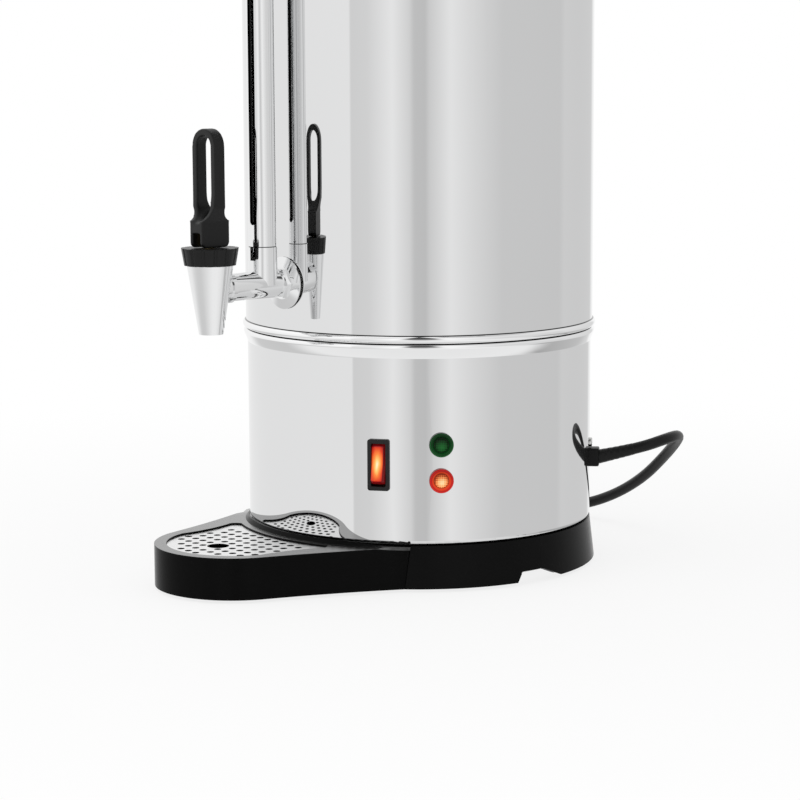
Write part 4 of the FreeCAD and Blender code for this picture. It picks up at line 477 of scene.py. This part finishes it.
shell_bead = half_round(shell_wall, shell_bead_low, seam_level, shell_bead_out, flare_low)
flare_foot = shell_wall + bead_cover
share = np.linspace(0, 1, flare_steps)
flare = np.column_stack([
    flare_foot + (shell_bead[0, 0] - flare_foot) * share ** flare_bend,
    flare_low + (shell_bead[0, 1] - flare_low) * share,
])
add_bead("shell_bead", np.vstack([flare[:-1], shell_bead, [shell_wall - bead_tuck, seam_level]]))


# Plastic parts: the base, the handles and the knob are glossy black phenolic, the tray is a
# satin black moulding, and the tap's bonnet, lever and gauge cap have a fine matte grain.
rim_level = 0.0264


def glossy_top(finish):
    """1 on the flat rim round the grid, which is the mould's polished face."""
    height = finish.split(finish.place())[2]
    flat = finish.rise(finish.facing()[2], 0.8, 0.95)
    return flat * (1 - finish.rise(height, rim_level + 0.0001, rim_level + 0.0003))


base_finish = moulded("base_plastic", (0.004, 0.004, 0.004), 0.22, 0.06)
tray_finish = moulded("tray_plastic", (0.0035, 0.0035, 0.0035), 0.20, 0.035, coat_place=glossy_top)
tap_finish = moulded("tap_plastic", (0.006, 0.006, 0.006), 0.34, 0.25, edge=0.0008)
bezel_finish = moulded("bezel_plastic", (0.012, 0.012, 0.012), 0.35, 0.25)
collar_finish = moulded("collar_plastic", (0.004, 0.004, 0.004), 0.4, 0.15)
inner_finish = moulded("inner_plastic", (0.05, 0.05, 0.05), 0.45, 0.4)
rubber_finish = moulded("soft_rubber", (0.02, 0.02, 0.02), 0.7, 0.3)
silicone_finish = moulded("silicone", (0.72, 0.72, 0.70), 0.5, 0.4)

dress(base_finish, "base_ring", "foot_ring", "handle_right", "handle_left", "lid_knob")
dress(tap_finish, "bonnet", "gauge_cap")
dress(inner_finish, "gland_nut", "terminal_block", "lamp_nuts")
dress(rubber_finish, "tray_pads", "seat_cup", "gauge_seals")
dress(silicone_finish, "outer_gasket", "inner_gasket")


# Lever: a black moulding with soft corners, on the pin through the valve's stem. Its block
# narrows in a hollow curve to the open fork.
lever_axis, lever_bend, fork_level = -0.1629, 0.2250, 0.2360
fork_thinner, fork_wider, lever_cell, lever_smoothing = 0.87, 1.06, 0.0004, 14


def corners_of(node):
    """A CAD node's points, those at one place made one, and its faces on them."""
    mesh = nodes[node].data
    points = np.empty(len(mesh.vertices) * 3)
    mesh.vertices.foreach_get("co", points)
    corners = np.empty(len(mesh.loops), int)
    mesh.loops.foreach_get("vertex_index", corners)
    places, which = np.unique(np.round(points.reshape(-1, 3), 7), axis=0, return_inverse=True)
    return places, which.reshape(-1)[corners].reshape(-1, 3).tolist()


def freeze(piece):
    """Makes what a piece's modifiers show its own mesh."""
    bpy.context.view_layer.update()
    shaped = bpy.data.meshes.new_from_object(piece.evaluated_get(bpy.context.evaluated_depsgraph_get()))
    piece.modifiers.clear()
    piece.data = shaped


def add_soft_copy(name, node, cell, smoothing, finish):
    """A CAD node's form in small even cells, with its corners rounded by smoothing."""
    piece = add_mesh(name, *corners_of(node), finish)
    cells = piece.modifiers.new("cells", "REMESH")
    cells.mode, cells.voxel_size = "VOXEL", cell
    cells.use_smooth_shade = True
    soft = piece.modifiers.new("soft", "SMOOTH")
    soft.factor, soft.iterations = 0.5, smoothing
    freeze(piece)
    return piece


def slim_fork(piece):
    """Scales each point about the lever's middle planes by an amount that grows smoothly from
    the bend to the fork and then stays: thinner front to back, a little wider across."""
    points = np.empty(len(piece.data.vertices) * 3)
    piece.data.vertices.foreach_get("co", points)
    points = points.reshape(-1, 3)
    share = np.clip((points[:, 2] - lever_bend) / (fork_level - lever_bend), 0, 1)
    share = share * share * (3 - 2 * share)
    points[:, 0] *= 1 + (fork_wider - 1) * share
    points[:, 1] = lever_axis + (points[:, 1] - lever_axis) * (1 + (fork_thinner - 1) * share)
    piece.data.vertices.foreach_set("co", points.ravel())


handle = add_soft_copy("tap_handle", "lever", lever_cell, lever_smoothing, tap_finish)
slim_fork(handle)
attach(handle, "tap_lever")
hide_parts("lever")


# Drip tray: a black moulding that slides in under the shell. A ridge along the shell keeps
# drips off it and runs out thin at both ends. The grid in its rim is punched steel sheet.
tray_turn, ridge_full, ridge_end = math.radians(3.1), math.radians(20), math.radians(47)
ridge_inner, ridge_outer = 0.1074, 0.11245
ridge_height_kept, ridge_width_kept, end_kept = 0.66, 0.66, 0.12
hole_pitch, row_pitch, first_row = 0.0077, 0.0078, -0.1753
hole_cut, hole_shown = 0.0016, 0.00215


def in_tray(points, way=1):
    """Points turned about the urn's axis into the tray's own frame, or back with way -1."""
    cosine, sine = math.cos(tray_turn), way * math.sin(tray_turn)
    return np.column_stack([points[:, 0] * cosine - points[:, 1] * sine,
                            points[:, 0] * sine + points[:, 1] * cosine, points[:, 2]])


def thin_ridge(points):
    """Scales the ridge's height over the rim and its reach from the shell by a share that is
    even in the middle and falls smoothly with the angle towards both ends."""
    own = in_tray(points)
    turn = np.arctan2(own[:, 0], -own[:, 1])
    past = np.clip((abs(turn) - ridge_full) / (ridge_end - ridge_full), 0, 1)
    left = 1 - (1 - end_kept) * past * past * (3 - 2 * past)
    reach = np.hypot(own[:, 0], own[:, 1])
    on_ridge = (own[:, 2] > rim_level - 1e-6) & (reach < ridge_outer) & (reach > ridge_inner - 1e-5)
    own[:, 2] -= on_ridge * (own[:, 2] - rim_level) * (1 - ridge_height_kept * left)
    closer = on_ridge * (reach - ridge_inner) * (1 - ridge_width_kept * (0.4 + 0.6 * left))
    own[:, 0] -= closer * np.sin(turn)
    own[:, 1] += closer * np.cos(turn)
    return in_tray(own, -1)


def widen_holes(points):
    """Moves each point on a hole's edge straight out from the middle of its hole. The middles
    stand in even rows, and every second row is shifted by half a pitch."""
    own = in_tray(points)
    row = np.round((own[:, 1] - first_row) / row_pitch)
    column = np.round(own[:, 0] / hole_pitch - 0.5 * (row % 2)) + 0.5 * (row % 2)
    off = own[:, :2] - np.column_stack([column * hole_pitch, first_row + row * row_pitch])
    on_edge = abs(np.hypot(off[:, 0], off[:, 1]) - hole_cut) < 1e-5
    own[:, :2] += off * (on_edge * (hole_shown / hole_cut - 1))[:, None]
    return in_tray(own, -1)


for name, node, body, slot, finish, reshape in (
    ("tray_body", "drip_tray", "tray", "tray_plastic", tray_finish, thin_ridge),
    ("grid_plate", "tray_grid", "grid", "polished_steel", grid_steel, widen_holes),
):
    places, faces = corners_of(node)
    piece = add_mesh(name, reshape(places), faces, finish, crease=30)
    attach(piece, body)
    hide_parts(node)


# Sight glass: a clear glass tube in a chromed steel shield with a round-ended slot in front
# and one behind. The shield stands on the tap's cup and ends under the black cap.
gauge_axis, gauge_turn = (0.0, -0.1241, 0.0), math.radians(8.5)
shield_out, shield_wall, shield_length = 0.00815, 0.0007, 0.228
slot_half, slot_low, slot_high = 0.0025, 0.0131, 0.2160
shield_foot, shield_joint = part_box("gauge_shield")[0][2], 0.0003
glass_low, glass_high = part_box("gauge_tube")
glass_bore, glass_steps = 0.0037, 96
shaded_inside_low, shaded_inside_high = 0.0076, 0.0077


def shield_finish():
    """Chrome, with painted shade inside the tube and at the joint below."""
    def dark(finish):
        across, along, height = finish.split(finish.place(centre=gauge_axis))
        hollow = 1 - finish.rise((across * across + along * along) ** 0.5, shaded_inside_low, shaded_inside_high)
        joint = 1 - finish.rise(height, shield_foot + shield_joint, shield_foot + 2 * shield_joint)
        return hollow.math("MAXIMUM", hollow, joint)
    return metal("shield_chrome", (0.87, 0.873, 0.876), 0.07, lines=(1, 1, 1), painted_shade_places=dark)


def add_shield():
    """Two half tubes: at each level the angle runs evenly from one slot's edge to the other's,
    and the edges stand apart by the slot's width, which is that of a circle at its ends."""
    round_end = slot_half * (1 - np.cos(np.linspace(0, np.pi / 2, 14)))
    level = np.unique(np.concatenate([
        np.linspace(0, slot_low, 4), slot_low + round_end, np.linspace(slot_low, slot_high, 12),
        slot_high - round_end, np.linspace(slot_high, shield_length, 4)]).round(7))
    level = np.delete(level, np.where(np.diff(level) < 1e-6))
    past = np.maximum(slot_low + slot_half - level, level - slot_high + slot_half).clip(0)
    edge = np.arcsin(np.sqrt(np.clip(slot_half ** 2 - past ** 2, 0, None)) / shield_out)[:, None]
    share = np.linspace(0, 1, 65)
    points, faces = [], []
    for start in (gauge_turn + np.pi / 2, gauge_turn + 3 * np.pi / 2):
        angle = start + edge + (np.pi - 2 * edge) * share
        faces += (np.array(grid_faces(*angle.shape, closed=False)) + len(points) * angle.size).tolist()
        points.append(np.stack([
            gauge_axis[0] + shield_out * np.cos(angle),
            gauge_axis[1] + shield_out * np.sin(angle),
            shield_foot + level[:, None] + 0 * angle,
        ], axis=-1))
    shield = add_mesh("gauge_sleeve", np.concatenate(points), faces, shield_finish())
    wall = shield.modifiers.new("wall", "SOLIDIFY")
    wall.thickness, wall.offset = shield_wall, -1
    freeze(shield)
    shield.data.set_sharp_from_angle(angle=math.radians(35))
    return shield


def clear_glass():
    """Clear glass with the faintest ripple along the tube."""
    finish = Finish("gauge_glass")
    ripple = finish.noise(120, 2, (1, 1, 0.2))
    return finish.surface({
        "Base Color": (0.95, 0.98, 0.97, 1.0),
        "Roughness": 0.02,
        "IOR": 1.47,
        "Transmission Weight": 1.0,
        "Normal": finish.node("ShaderNodeBump", {}, {"Height": ripple, "Distance": 0.000002}),
    })


def add_glass():
    """A square-ended wall between bore and outside, turned round the gauge's axis."""
    outside = (glass_high[0] - glass_low[0]) / 2
    outline = np.array([
        (glass_bore, glass_low[2]),
        (outside, glass_low[2]),
        (outside, glass_high[2]),
        (glass_bore, glass_high[2]),
        (glass_bore, glass_low[2]),
    ])
    points = revolved(outline, glass_steps, gauge_axis)
    return add_mesh("sight_glass", points, grid_faces(len(outline), glass_steps), clear_glass(), crease=35)


for piece, node, slot in (
    (add_shield(), "gauge_shield", "tap_chrome"),
    (add_glass(), "gauge_tube", "gauge_glass"),
):
    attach(piece, "urn")
    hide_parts(node)


# Switch: a black bezel on a case that snaps into the shell, and a red see-through rocker on a
# pin in it, pressed in at the top. A small lamp behind it shows as a bright upright core; the
# bevel on its right and its lower end stay deep red.
shell_radius = 0.107
switch_azimuth, switch_level = math.radians(34.9), 0.0751
pivot_depth, rocker_tilt = 0.004, math.radians(11)
# Each ring: half width, half height, corner radius, distance out from the shell.
bezel_rings = [
    (0.0043, 0.01265, 0.0005, -0.0072),
    (0.0043, 0.01265, 0.0005, 0.0017),
    (0.0046, 0.01295, 0.0007, 0.0020),
    (0.0059, 0.01455, 0.0012, 0.0020),
    (0.0063, 0.01500, 0.0014, 0.00188),
    (0.0066, 0.01525, 0.0015, 0.0015),
    (0.0066, 0.01525, 0.0015, -0.0005),
    (0.0060, 0.01425, 0.0006, -0.0005),
    (0.0060, 0.01425, 0.0006, -0.0220),
]
# Each point: height over the pin, distance out from the pin.
key_outline = np.array([
    (-0.01212, 0.00313), (-0.01195, 0.0046), (-0.01028, 0.00675), (0.0, 0.0058),
    (0.01028, 0.00675), (0.01195, 0.0046), (0.01212, 0.00313), (0.0105, 0.0),
    (0.0050, -0.0015), (-0.0050, -0.0015), (-0.0105, 0.0),
])
key_half, key_bevel, bevel_deep, key_soft = 0.0041, 0.0013, 0.0009, 0.00022
bevel_from, side_shorter = 0.002, 0.03
glow_left, glow_up, glow_half_width, glow_half_height = 0.0006, 0.0004, 0.0034, 0.0088
pin_radius, pin_half = 0.0012, 0.0056


def on_wall(points, azimuth, reach, level):
    """Puts points of a piece's own frame on the wall: its third axis points out, its second up."""
    across, upward, outward = np.moveaxis(np.asarray(points, float), -1, 0)
    outward = outward + reach
    return np.stack([across * np.cos(azimuth) + outward * np.sin(azimuth),
                     across * np.sin(azimuth) - outward * np.cos(azimuth), upward + level], axis=-1)


def rounded_ring(half_width, half_height, corner, outward, count=7):
    """A rectangle with round corners: a quarter circle about the middle of each corner."""
    angle = (np.arange(4)[:, None] * np.pi / 2 + np.linspace(0, np.pi / 2, count)).ravel()
    side = np.repeat([1, -1, -1, 1], count), np.repeat([1, 1, -1, -1], count)
    return np.column_stack([side[0] * (half_width - corner) + corner * np.cos(angle),
                            side[1] * (half_height - corner) + corner * np.sin(angle),
                            np.full(4 * count, outward)])


def add_rings(name, rings, azimuth, level, finish, capped=True):
    """A skin over rings that follow each other, closed at both ends or joined end to end."""
    size = len(rings[0])
    faces = grid_faces(len(rings), size)
    if capped:
        faces += [list(range(size)), list(range((len(rings) - 1) * size, len(rings) * size))]
    return add_mesh(name, on_wall(np.stack(rings), azimuth, shell_radius, level), faces, finish, crease=35)


def add_key(finish):
    """The rocker's outline carried across it in four stations; the outer two lie lower in
    front, which makes the side bevels. It is turned about its pin, top inwards."""
    stations = []
    inner = key_half - key_bevel
    for across, outer in ((-key_half, 1), (-inner, 0), (inner, 0), (key_half, 1)):
        along, out = key_outline[:, 0] * (1 - side_shorter * outer), key_outline[:, 1]
        out = out - bevel_deep * outer * (out > bevel_from)
        stations.append(np.column_stack([
            np.full(len(along), across),
            along * math.cos(rocker_tilt) + out * math.sin(rocker_tilt),
            out * math.cos(rocker_tilt) - along * math.sin(rocker_tilt) - pivot_depth,
        ]))
    key = add_rings("rocker_key", stations, switch_azimuth, switch_level, finish)
    soft = key.modifiers.new("soft", "BEVEL")
    soft.width, soft.segments, soft.limit_method = key_soft, 2, "ANGLE"
    return key


def lit_rocker():
    """Glowing red plastic. The glow falls with the distance from the lamp, in an upright
    oval, and drops on the right bevel, at the top edge and on the lower end."""
    finish = Finish("rocker_red")
    middle = (shell_radius * math.sin(switch_azimuth), -shell_radius * math.cos(switch_azimuth), switch_level)
    across, upward, _ = finish.split(finish.place(centre=middle, turn=(math.pi / 2, 0, switch_azimuth)))
    streak = finish.noise(450, 2, (1, 1, 0.2))
    away = (((across + glow_left) / glow_half_width) ** 2
            + ((upward - glow_up) / glow_half_height) ** 2) ** 0.5
    side = finish.rise(across, 0.0026, 0.0030) * 0.40 - finish.rise(across, 0.0036, 0.0040) * 0.22
    ends = (1 - finish.rise(upward, -0.0098, -0.0086)) + finish.rise(upward, 0.0102, 0.0116)
    glow = finish.ramp(away * 0.57 + streak * 0.25 - 0.17 + side + ends * 0.34, [
        (0.0, (1.0, 0.93, 0.58, 1)),
        (0.16, (1.0, 0.64, 0.17, 1)),
        (0.36, (1.0, 0.26, 0.045, 1)),
        (0.58, (0.72, 0.055, 0.012, 1)),
        (0.80, (0.34, 0.006, 0.008, 1)),
        (1.0, (0.08, 0.001, 0.002, 1)),
    ])
    return finish.surface({
        "Base Color": (0.10, 0.003, 0.003, 1),
        "Roughness": 0.18,
        "Specular IOR Level": 0.2,
        "Emission Color": glow,
        "Emission Strength": 0.95,
        "Normal": finish.bump(streak, 0.00002, 0.0003),
    })


bezel = add_rings("switch_bezel", [rounded_ring(*ring) for ring in bezel_rings],
                  switch_azimuth, switch_level, bezel_finish)
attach(bezel, "urn")
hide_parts("switch_housing")
rocker_red = lit_rocker()
key = add_key(rocker_red)
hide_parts("switch_rocker")
pin_line = on_wall([(-pin_half, 0, -pivot_depth), (pin_half, 0, -pivot_depth)],
                   switch_azimuth, shell_radius, switch_level)
for piece in (key, add_tube("rocker_pin", pin_line, pin_radius, rocker_red, 24)):
    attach(piece, "rocker")


# Cord outlet: a square black collar with soft corners, set a little above the middle of its
# round stem, which a nut behind the shell holds. The cord is gripped in its bore.
outlet_azimuth, outlet_level = math.radians(130.8), 0.0630
outlet_bore, outlet_stem, outlet_depth = 0.0036, 0.0048, 0.010
collar_lift, collar_back, collar_front = 0.0014, -0.0002, 0.0060
# Each ring: half width, half height, corner radius, distance out from the shell, lift.
collar_rings = [
    (outlet_bore, outlet_bore, outlet_bore, -outlet_depth, 0),
    (outlet_stem, outlet_stem, outlet_stem, -outlet_depth, 0),
    (outlet_stem, outlet_stem, outlet_stem, collar_back, 0),
    (0.0052, 0.0057, 0.0014, collar_back, collar_lift),
    (0.0052, 0.0057, 0.0014, 0.0052, collar_lift),
    (0.0050, 0.0055, 0.0013, 0.0057, collar_lift),
    (0.0045, 0.0050, 0.0012, collar_front, collar_lift),
    (outlet_bore, outlet_bore, outlet_bore, collar_front, collar_lift),
    (outlet_bore, outlet_bore, outlet_bore, -outlet_depth, 0),
]
collar = add_rings("outlet_collar", [rounded_ring(wide, tall, corner, out) + (0, lift, 0)
                                     for wide, tall, corner, out, lift in collar_rings],
                   outlet_azimuth, outlet_level, collar_finish, capped=False)
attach(collar, "urn")
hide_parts("cord_gland")


# Signal lamps: see-through mouldings pushed into the shell, with a stepped rim and a dome of
# small square prisms. The red one is lit; the green one is dark, and its green glow is painted
# light, darker upwards as painted shade.
lamp_azimuth = math.radians(54.65)
lamp_levels = {"green": 0.0872, "red": 0.0659}
lamp_radius, lamp_proud, lamp_body, lamp_depth = 0.00725, 0.0026, 0.0050, 0.018
dome_radius, dome_edge, prism_pitch, prism_depth = 0.0044, 0.0009, 0.00105, 0.00016
edge_radius, rim_height, centre_ring = 0.0008, 0.0022, 0.00005


def add_lens(name, level, finish):
    """A profile turned round the lamp's axis: the dome is a parabola less a square wave of
    two cosines, then come a groove, a slope up to the rim, the rim's rounded edge and the body."""
    turn = np.linspace(0, 2 * np.pi, 96, endpoint=False)
    inner = np.linspace(centre_ring, dome_radius, 34)
    share = inner / dome_radius
    dome = dome_edge + (lamp_proud - dome_edge) * (1 - share ** 2)
    bend = np.linspace(0, np.pi / 2, 8)
    outer = np.concatenate([
        [(dome_radius + 0.0001, 0.0005), (dome_radius + 0.0004, 0.0005), (dome_radius + 0.0005, 0.0009)],
        [(lamp_radius - 0.0018, 0.0019), (lamp_radius - 0.0014, rim_height)],
        np.column_stack([lamp_radius - edge_radius + edge_radius * np.sin(bend),
                         rim_height - edge_radius + edge_radius * np.cos(bend)]),
        [(lamp_radius, 0.0), (lamp_body, 0.0), (lamp_body, -lamp_depth * 0.8),
         (lamp_body * 0.7, -lamp_depth), (centre_ring, -lamp_depth)],
    ])
    radius = np.concatenate([inner, outer[:, 0]])[:, None]
    height = np.concatenate([dome, outer[:, 1]])[:, None]
    across, upward = radius * np.cos(turn), radius * np.sin(turn)
    wave = np.cos(2 * np.pi * across / prism_pitch) + np.cos(2 * np.pi * upward / prism_pitch)
    ribbed = (radius < dome_radius * 0.97) & (height > 0)
    height = height + prism_depth * 0.5 * (wave - 2) * ribbed
    rows, columns = across.shape
    faces = grid_faces(rows, columns)
    faces += [list(range(columns)), list(range((rows - 1) * columns, rows * columns))]
    points = on_wall(np.stack([across, upward, height], axis=-1), lamp_azimuth, shell_radius, level)
    return add_mesh(name, points, faces, finish)


def lens_finish(name, level, body, rings, dome, strength, shade):
    """Coloured plastic whose glow goes by the distance from the lamp's axis, ring by ring, and
    on the dome by the distance from a point a little below it, and darkens upwards. On the
    unlit green lens this glow is painted light and the darkening painted shade."""
    finish = Finish(name)
    spot = (shell_radius * math.sin(lamp_azimuth), -shell_radius * math.cos(lamp_azimuth), level)
    across, upward, _ = finish.split(finish.place(centre=spot, turn=(math.pi / 2, 0, lamp_azimuth)))
    away = (across * across + upward * upward) ** 0.5
    low = ((across - 0.0002) ** 2 + (upward + 0.0009) ** 2) ** 0.5
    fleck = finish.noise(700, 1)
    on_dome = 1 - finish.rise(away, dome_radius * 0.90, dome_radius * 0.98)
    waves = 2 * math.pi / prism_pitch
    prisms = sum(((place * waves).math("COSINE", place * waves) for place in (across, upward)), 0)
    glow = finish.mix(on_dome, finish.ramp(away / lamp_radius, rings),
                      finish.ramp(low / dome_radius + fleck * 0.2 - 0.1 - prisms * 0.15, dome))
    # Darker upwards: painted shade on the unlit green lens.
    glow = finish.mix(finish.rise(upward, -0.003, 0.007) * shade, glow, (0.0, 0.0, 0.0))
    return finish.surface({
        "Base Color": (*body, 1),
        "Roughness": 0.06,
        "Specular IOR Level": 0.14,
        "Emission Color": glow,
        "Emission Strength": strength,
        "Normal": finish.bump(fleck, 0.00001, 0.0001),
    })


lens_tones = {
    # The green lamp is unlit: its glow is painted light, and its darkening upwards painted shade.
    "green": ((0.002, 0.012, 0.003), 0.9, [
        (0.60, (0.0005, 0.006, 0.001, 1)), (0.68, (0.002, 0.034, 0.006, 1)),
        (0.78, (0.004, 0.055, 0.010, 1)), (0.84, (0.001, 0.010, 0.002, 1)),
        (0.92, (0.010, 0.12, 0.025, 1)), (1.0, (0.001, 0.008, 0.002, 1)),
    ], [
        (0.0, (0.010, 0.13, 0.022, 1)), (0.5, (0.006, 0.080, 0.014, 1)),
        (0.85, (0.002, 0.022, 0.004, 1)), (1.0, (0.002, 0.006, 0.001, 1)),
    ], 0.55),
    "red": ((0.10, 0.002, 0.002), 0.95, [
        (0.60, (0.16, 0.020, 0.004, 1)), (0.66, (0.72, 0.075, 0.02, 1)),
        (0.76, (0.66, 0.040, 0.016, 1)), (0.84, (0.36, 0.008, 0.006, 1)),
        (0.92, (0.68, 0.022, 0.016, 1)), (1.0, (0.14, 0.001, 0.001, 1)),
    ], [
        (0.0, (1.0, 0.84, 0.48, 1)), (0.45, (1.0, 0.58, 0.22, 1)),
        (0.75, (0.95, 0.22, 0.05, 1)), (1.0, (0.26, 0.04, 0.01, 1)),
    ], 0.30),
}
for colour, (body, strength, rings, dome, shade) in lens_tones.items():
    lens = add_lens(f"lens_{colour}", lamp_levels[colour],
                    lens_finish(f"{colour}_lens", lamp_levels[colour], body, rings, dome, strength, shade))
    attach(lens, "urn")
    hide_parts(f"lamp_{colour}")


# Valve spring: a wire coil round the stem inside the bonnet, which presses the seat shut.
spring_middle = (0.0, -0.1629)
spring_low, spring_high, spring_radius, spring_wire, spring_turns = 0.1824, 0.1998, 0.0046, 0.00045, 6


def add_spring():
    """A helix: the angle grows evenly, and the level rises evenly between two flat end turns."""
    turn = np.linspace(0, spring_turns, 241)
    rise = np.clip((turn - 0.75) / (spring_turns - 1.5), 0, 1)
    angle = 2 * np.pi * turn
    path = np.column_stack([
        spring_middle[0] + spring_radius * np.cos(angle),
        spring_middle[1] + spring_radius * np.sin(angle),
        spring_low + (spring_high - spring_low) * rise,
    ])
    return add_tube("valve_coil", path, spring_wire, plain, 10)


spring = add_spring()
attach(spring, "urn")
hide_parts("valve_spring")
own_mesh(spring)


# Studio: a wide white table, a white room, two soft lamps above it, and white panels round
# it that polished metal mirrors, with a narrow gap between them where the camera stands.
shadow_near, shadow_far = 0.12, 0.75
slit_heading, slit_narrow, slit_wide = 0.505, 0.02, 0.045


def table_finish():
    """White table top that keeps the object's shadow and turns into the white room far out."""
    finish = Finish("white_table")
    east, north, _ = finish.split(finish.place())
    far = finish.rise((east * east + north * north) ** 0.5, shadow_near, shadow_far)
    weave = finish.noise(40, 3)
    top = finish.node("ShaderNodeBsdfPrincipled", {}, {
        "Base Color": finish.mix(weave, (0.93, 0.93, 0.93), (0.95, 0.95, 0.95)),
        "Roughness": 0.8,
        "Specular IOR Level": 0.1,
    })
    glow = finish.node("ShaderNodeEmission", {}, {"Color": (1, 1, 1, 1), "Strength": 1.0})
    seen = finish.node("ShaderNodeLightPath", output="Is Camera Ray")
    both = finish.node("ShaderNodeMixShader", {}, {0: (0.82 + far * 0.18) * seen, 1: top, 2: glow})
    finish.node("ShaderNodeOutputMaterial", {}, {"Surface": both})
    return finish.holder


table_half, table_level = 30.0, -0.0006
table = add_mesh("table", [(-table_half, -table_half, table_level), (table_half, -table_half, table_level),
                           (table_half, table_half, table_level), (-table_half, table_half, table_level)],
                 [(0, 1, 2, 3)], table_finish(), smooth=False)
table.visible_glossy = False


def room():
    """A white room for the camera and for glass, panels for metal, and even light for the rest."""
    world = bpy.data.worlds.new("room")
    bpy.context.scene.world = world
    finish = Finish(holder=world)
    heading = finish.node("ShaderNodeTexCoord", output="Generated")
    turned = finish.node("ShaderNodeMapping", {"vector_type": "TEXTURE"},
                         {"Vector": heading, "Rotation": (0, 0, math.radians(-42.2))})
    east, north, height = finish.split(turned)
    angle = east.math("ARCTAN2", north, east) / (2 * math.pi) + 0.5
    walls = finish.ramp(angle, [
        (0.0, 0.93), (0.375, 0.958), (0.379, 0.775), (0.409, 0.80), (0.454, 0.985), (0.484, 0.80),
        (0.493, 0.65), (0.512, 0.64), (0.520, 0.75), (0.557, 0.965), (0.60, 0.84), (0.655, 0.715),
        (0.79, 0.70), (0.805, 0.755), (0.85, 0.735), (0.93, 0.71), (0.95, 0.96),
    ])
    low = finish.ramp(angle, [
        (0.17, 0.66), (0.37, 0.72), (0.45, 0.85), (0.50, 0.94), (0.55, 1.0), (0.62, 1.0),
        (0.68, 0.93), (0.72, 0.80), (0.76, 0.45), (0.80, 0.50), (1.0, 0.66),
    ])
    around = finish.mix(finish.rise(0 - height, 0.24, 0.36), walls, low)
    around = finish.mix(finish.rise(0 - height, 0.52, 0.64), around, (1.0, 1.0, 1.0))
    beside = finish.rise(angle.math("ABSOLUTE", angle - slit_heading), slit_narrow, slit_wide)
    slit = (1 - beside) * finish.rise(height, 0.2, 0.4)
    around = finish.mix(slit * 0.88, around, (0.0, 0.0, 0.0))
    ceiling = finish.ramp(height * 0.5 + 0.5, [
        (0.0, 0.60), (0.10, 0.84), (0.20, 0.88), (0.35, 0.97), (0.40, 1.0), (0.60, 1.02),
        (0.75, 1.10), (0.87, 1.12), (0.90, 0.85), (0.955, 0.85), (0.975, 1.10),
    ])
    shine = finish.node("ShaderNodeMix", {"data_type": "RGBA", "blend_type": "MULTIPLY"},
                        {0: 1.0, 6: around, 7: ceiling}, 2)
    paths = {ray: finish.node("ShaderNodeLightPath", output=ray)
             for ray in ("Is Camera Ray", "Is Glossy Ray", "Is Transmission Ray")}
    seen = paths["Is Camera Ray"].math("MAXIMUM", paths["Is Camera Ray"], paths["Is Transmission Ray"])
    even = finish.mix(seen, (0.62, 0.62, 0.62), (1.0, 1.0, 1.0))
    colour = finish.mix(paths["Is Glossy Ray"], even, shine)
    back = finish.node("ShaderNodeBackground", {}, {"Color": colour, "Strength": 1.0})
    finish.node("ShaderNodeOutputWorld", {}, {"Surface": back})


room()


def add_lamp(name, place, aim, size, power):
    """A square soft lamp at a place, turned to an aim."""
    light = bpy.data.lights.new(name, "AREA")
    light.size = size
    light.energy = power
    lamp = bpy.data.objects.new(name, light)
    way = Matrix.Translation(place).to_translation() - Matrix.Translation(aim).to_translation()
    lamp.matrix_world = Matrix.Translation(place) @ way.to_track_quat("Z", "Y").to_matrix().to_4x4()
    lamp.visible_glossy = False
    bpy.context.scene.collection.objects.link(lamp)


add_lamp("top_lamp", (0.0, -0.1, 2.0), (0, 0, 0.2), 1.6, 9.0)
add_lamp("left_lamp", (-0.6, -1.9, 1.2), (0, 0, 0.2), 1.3, 7.0)
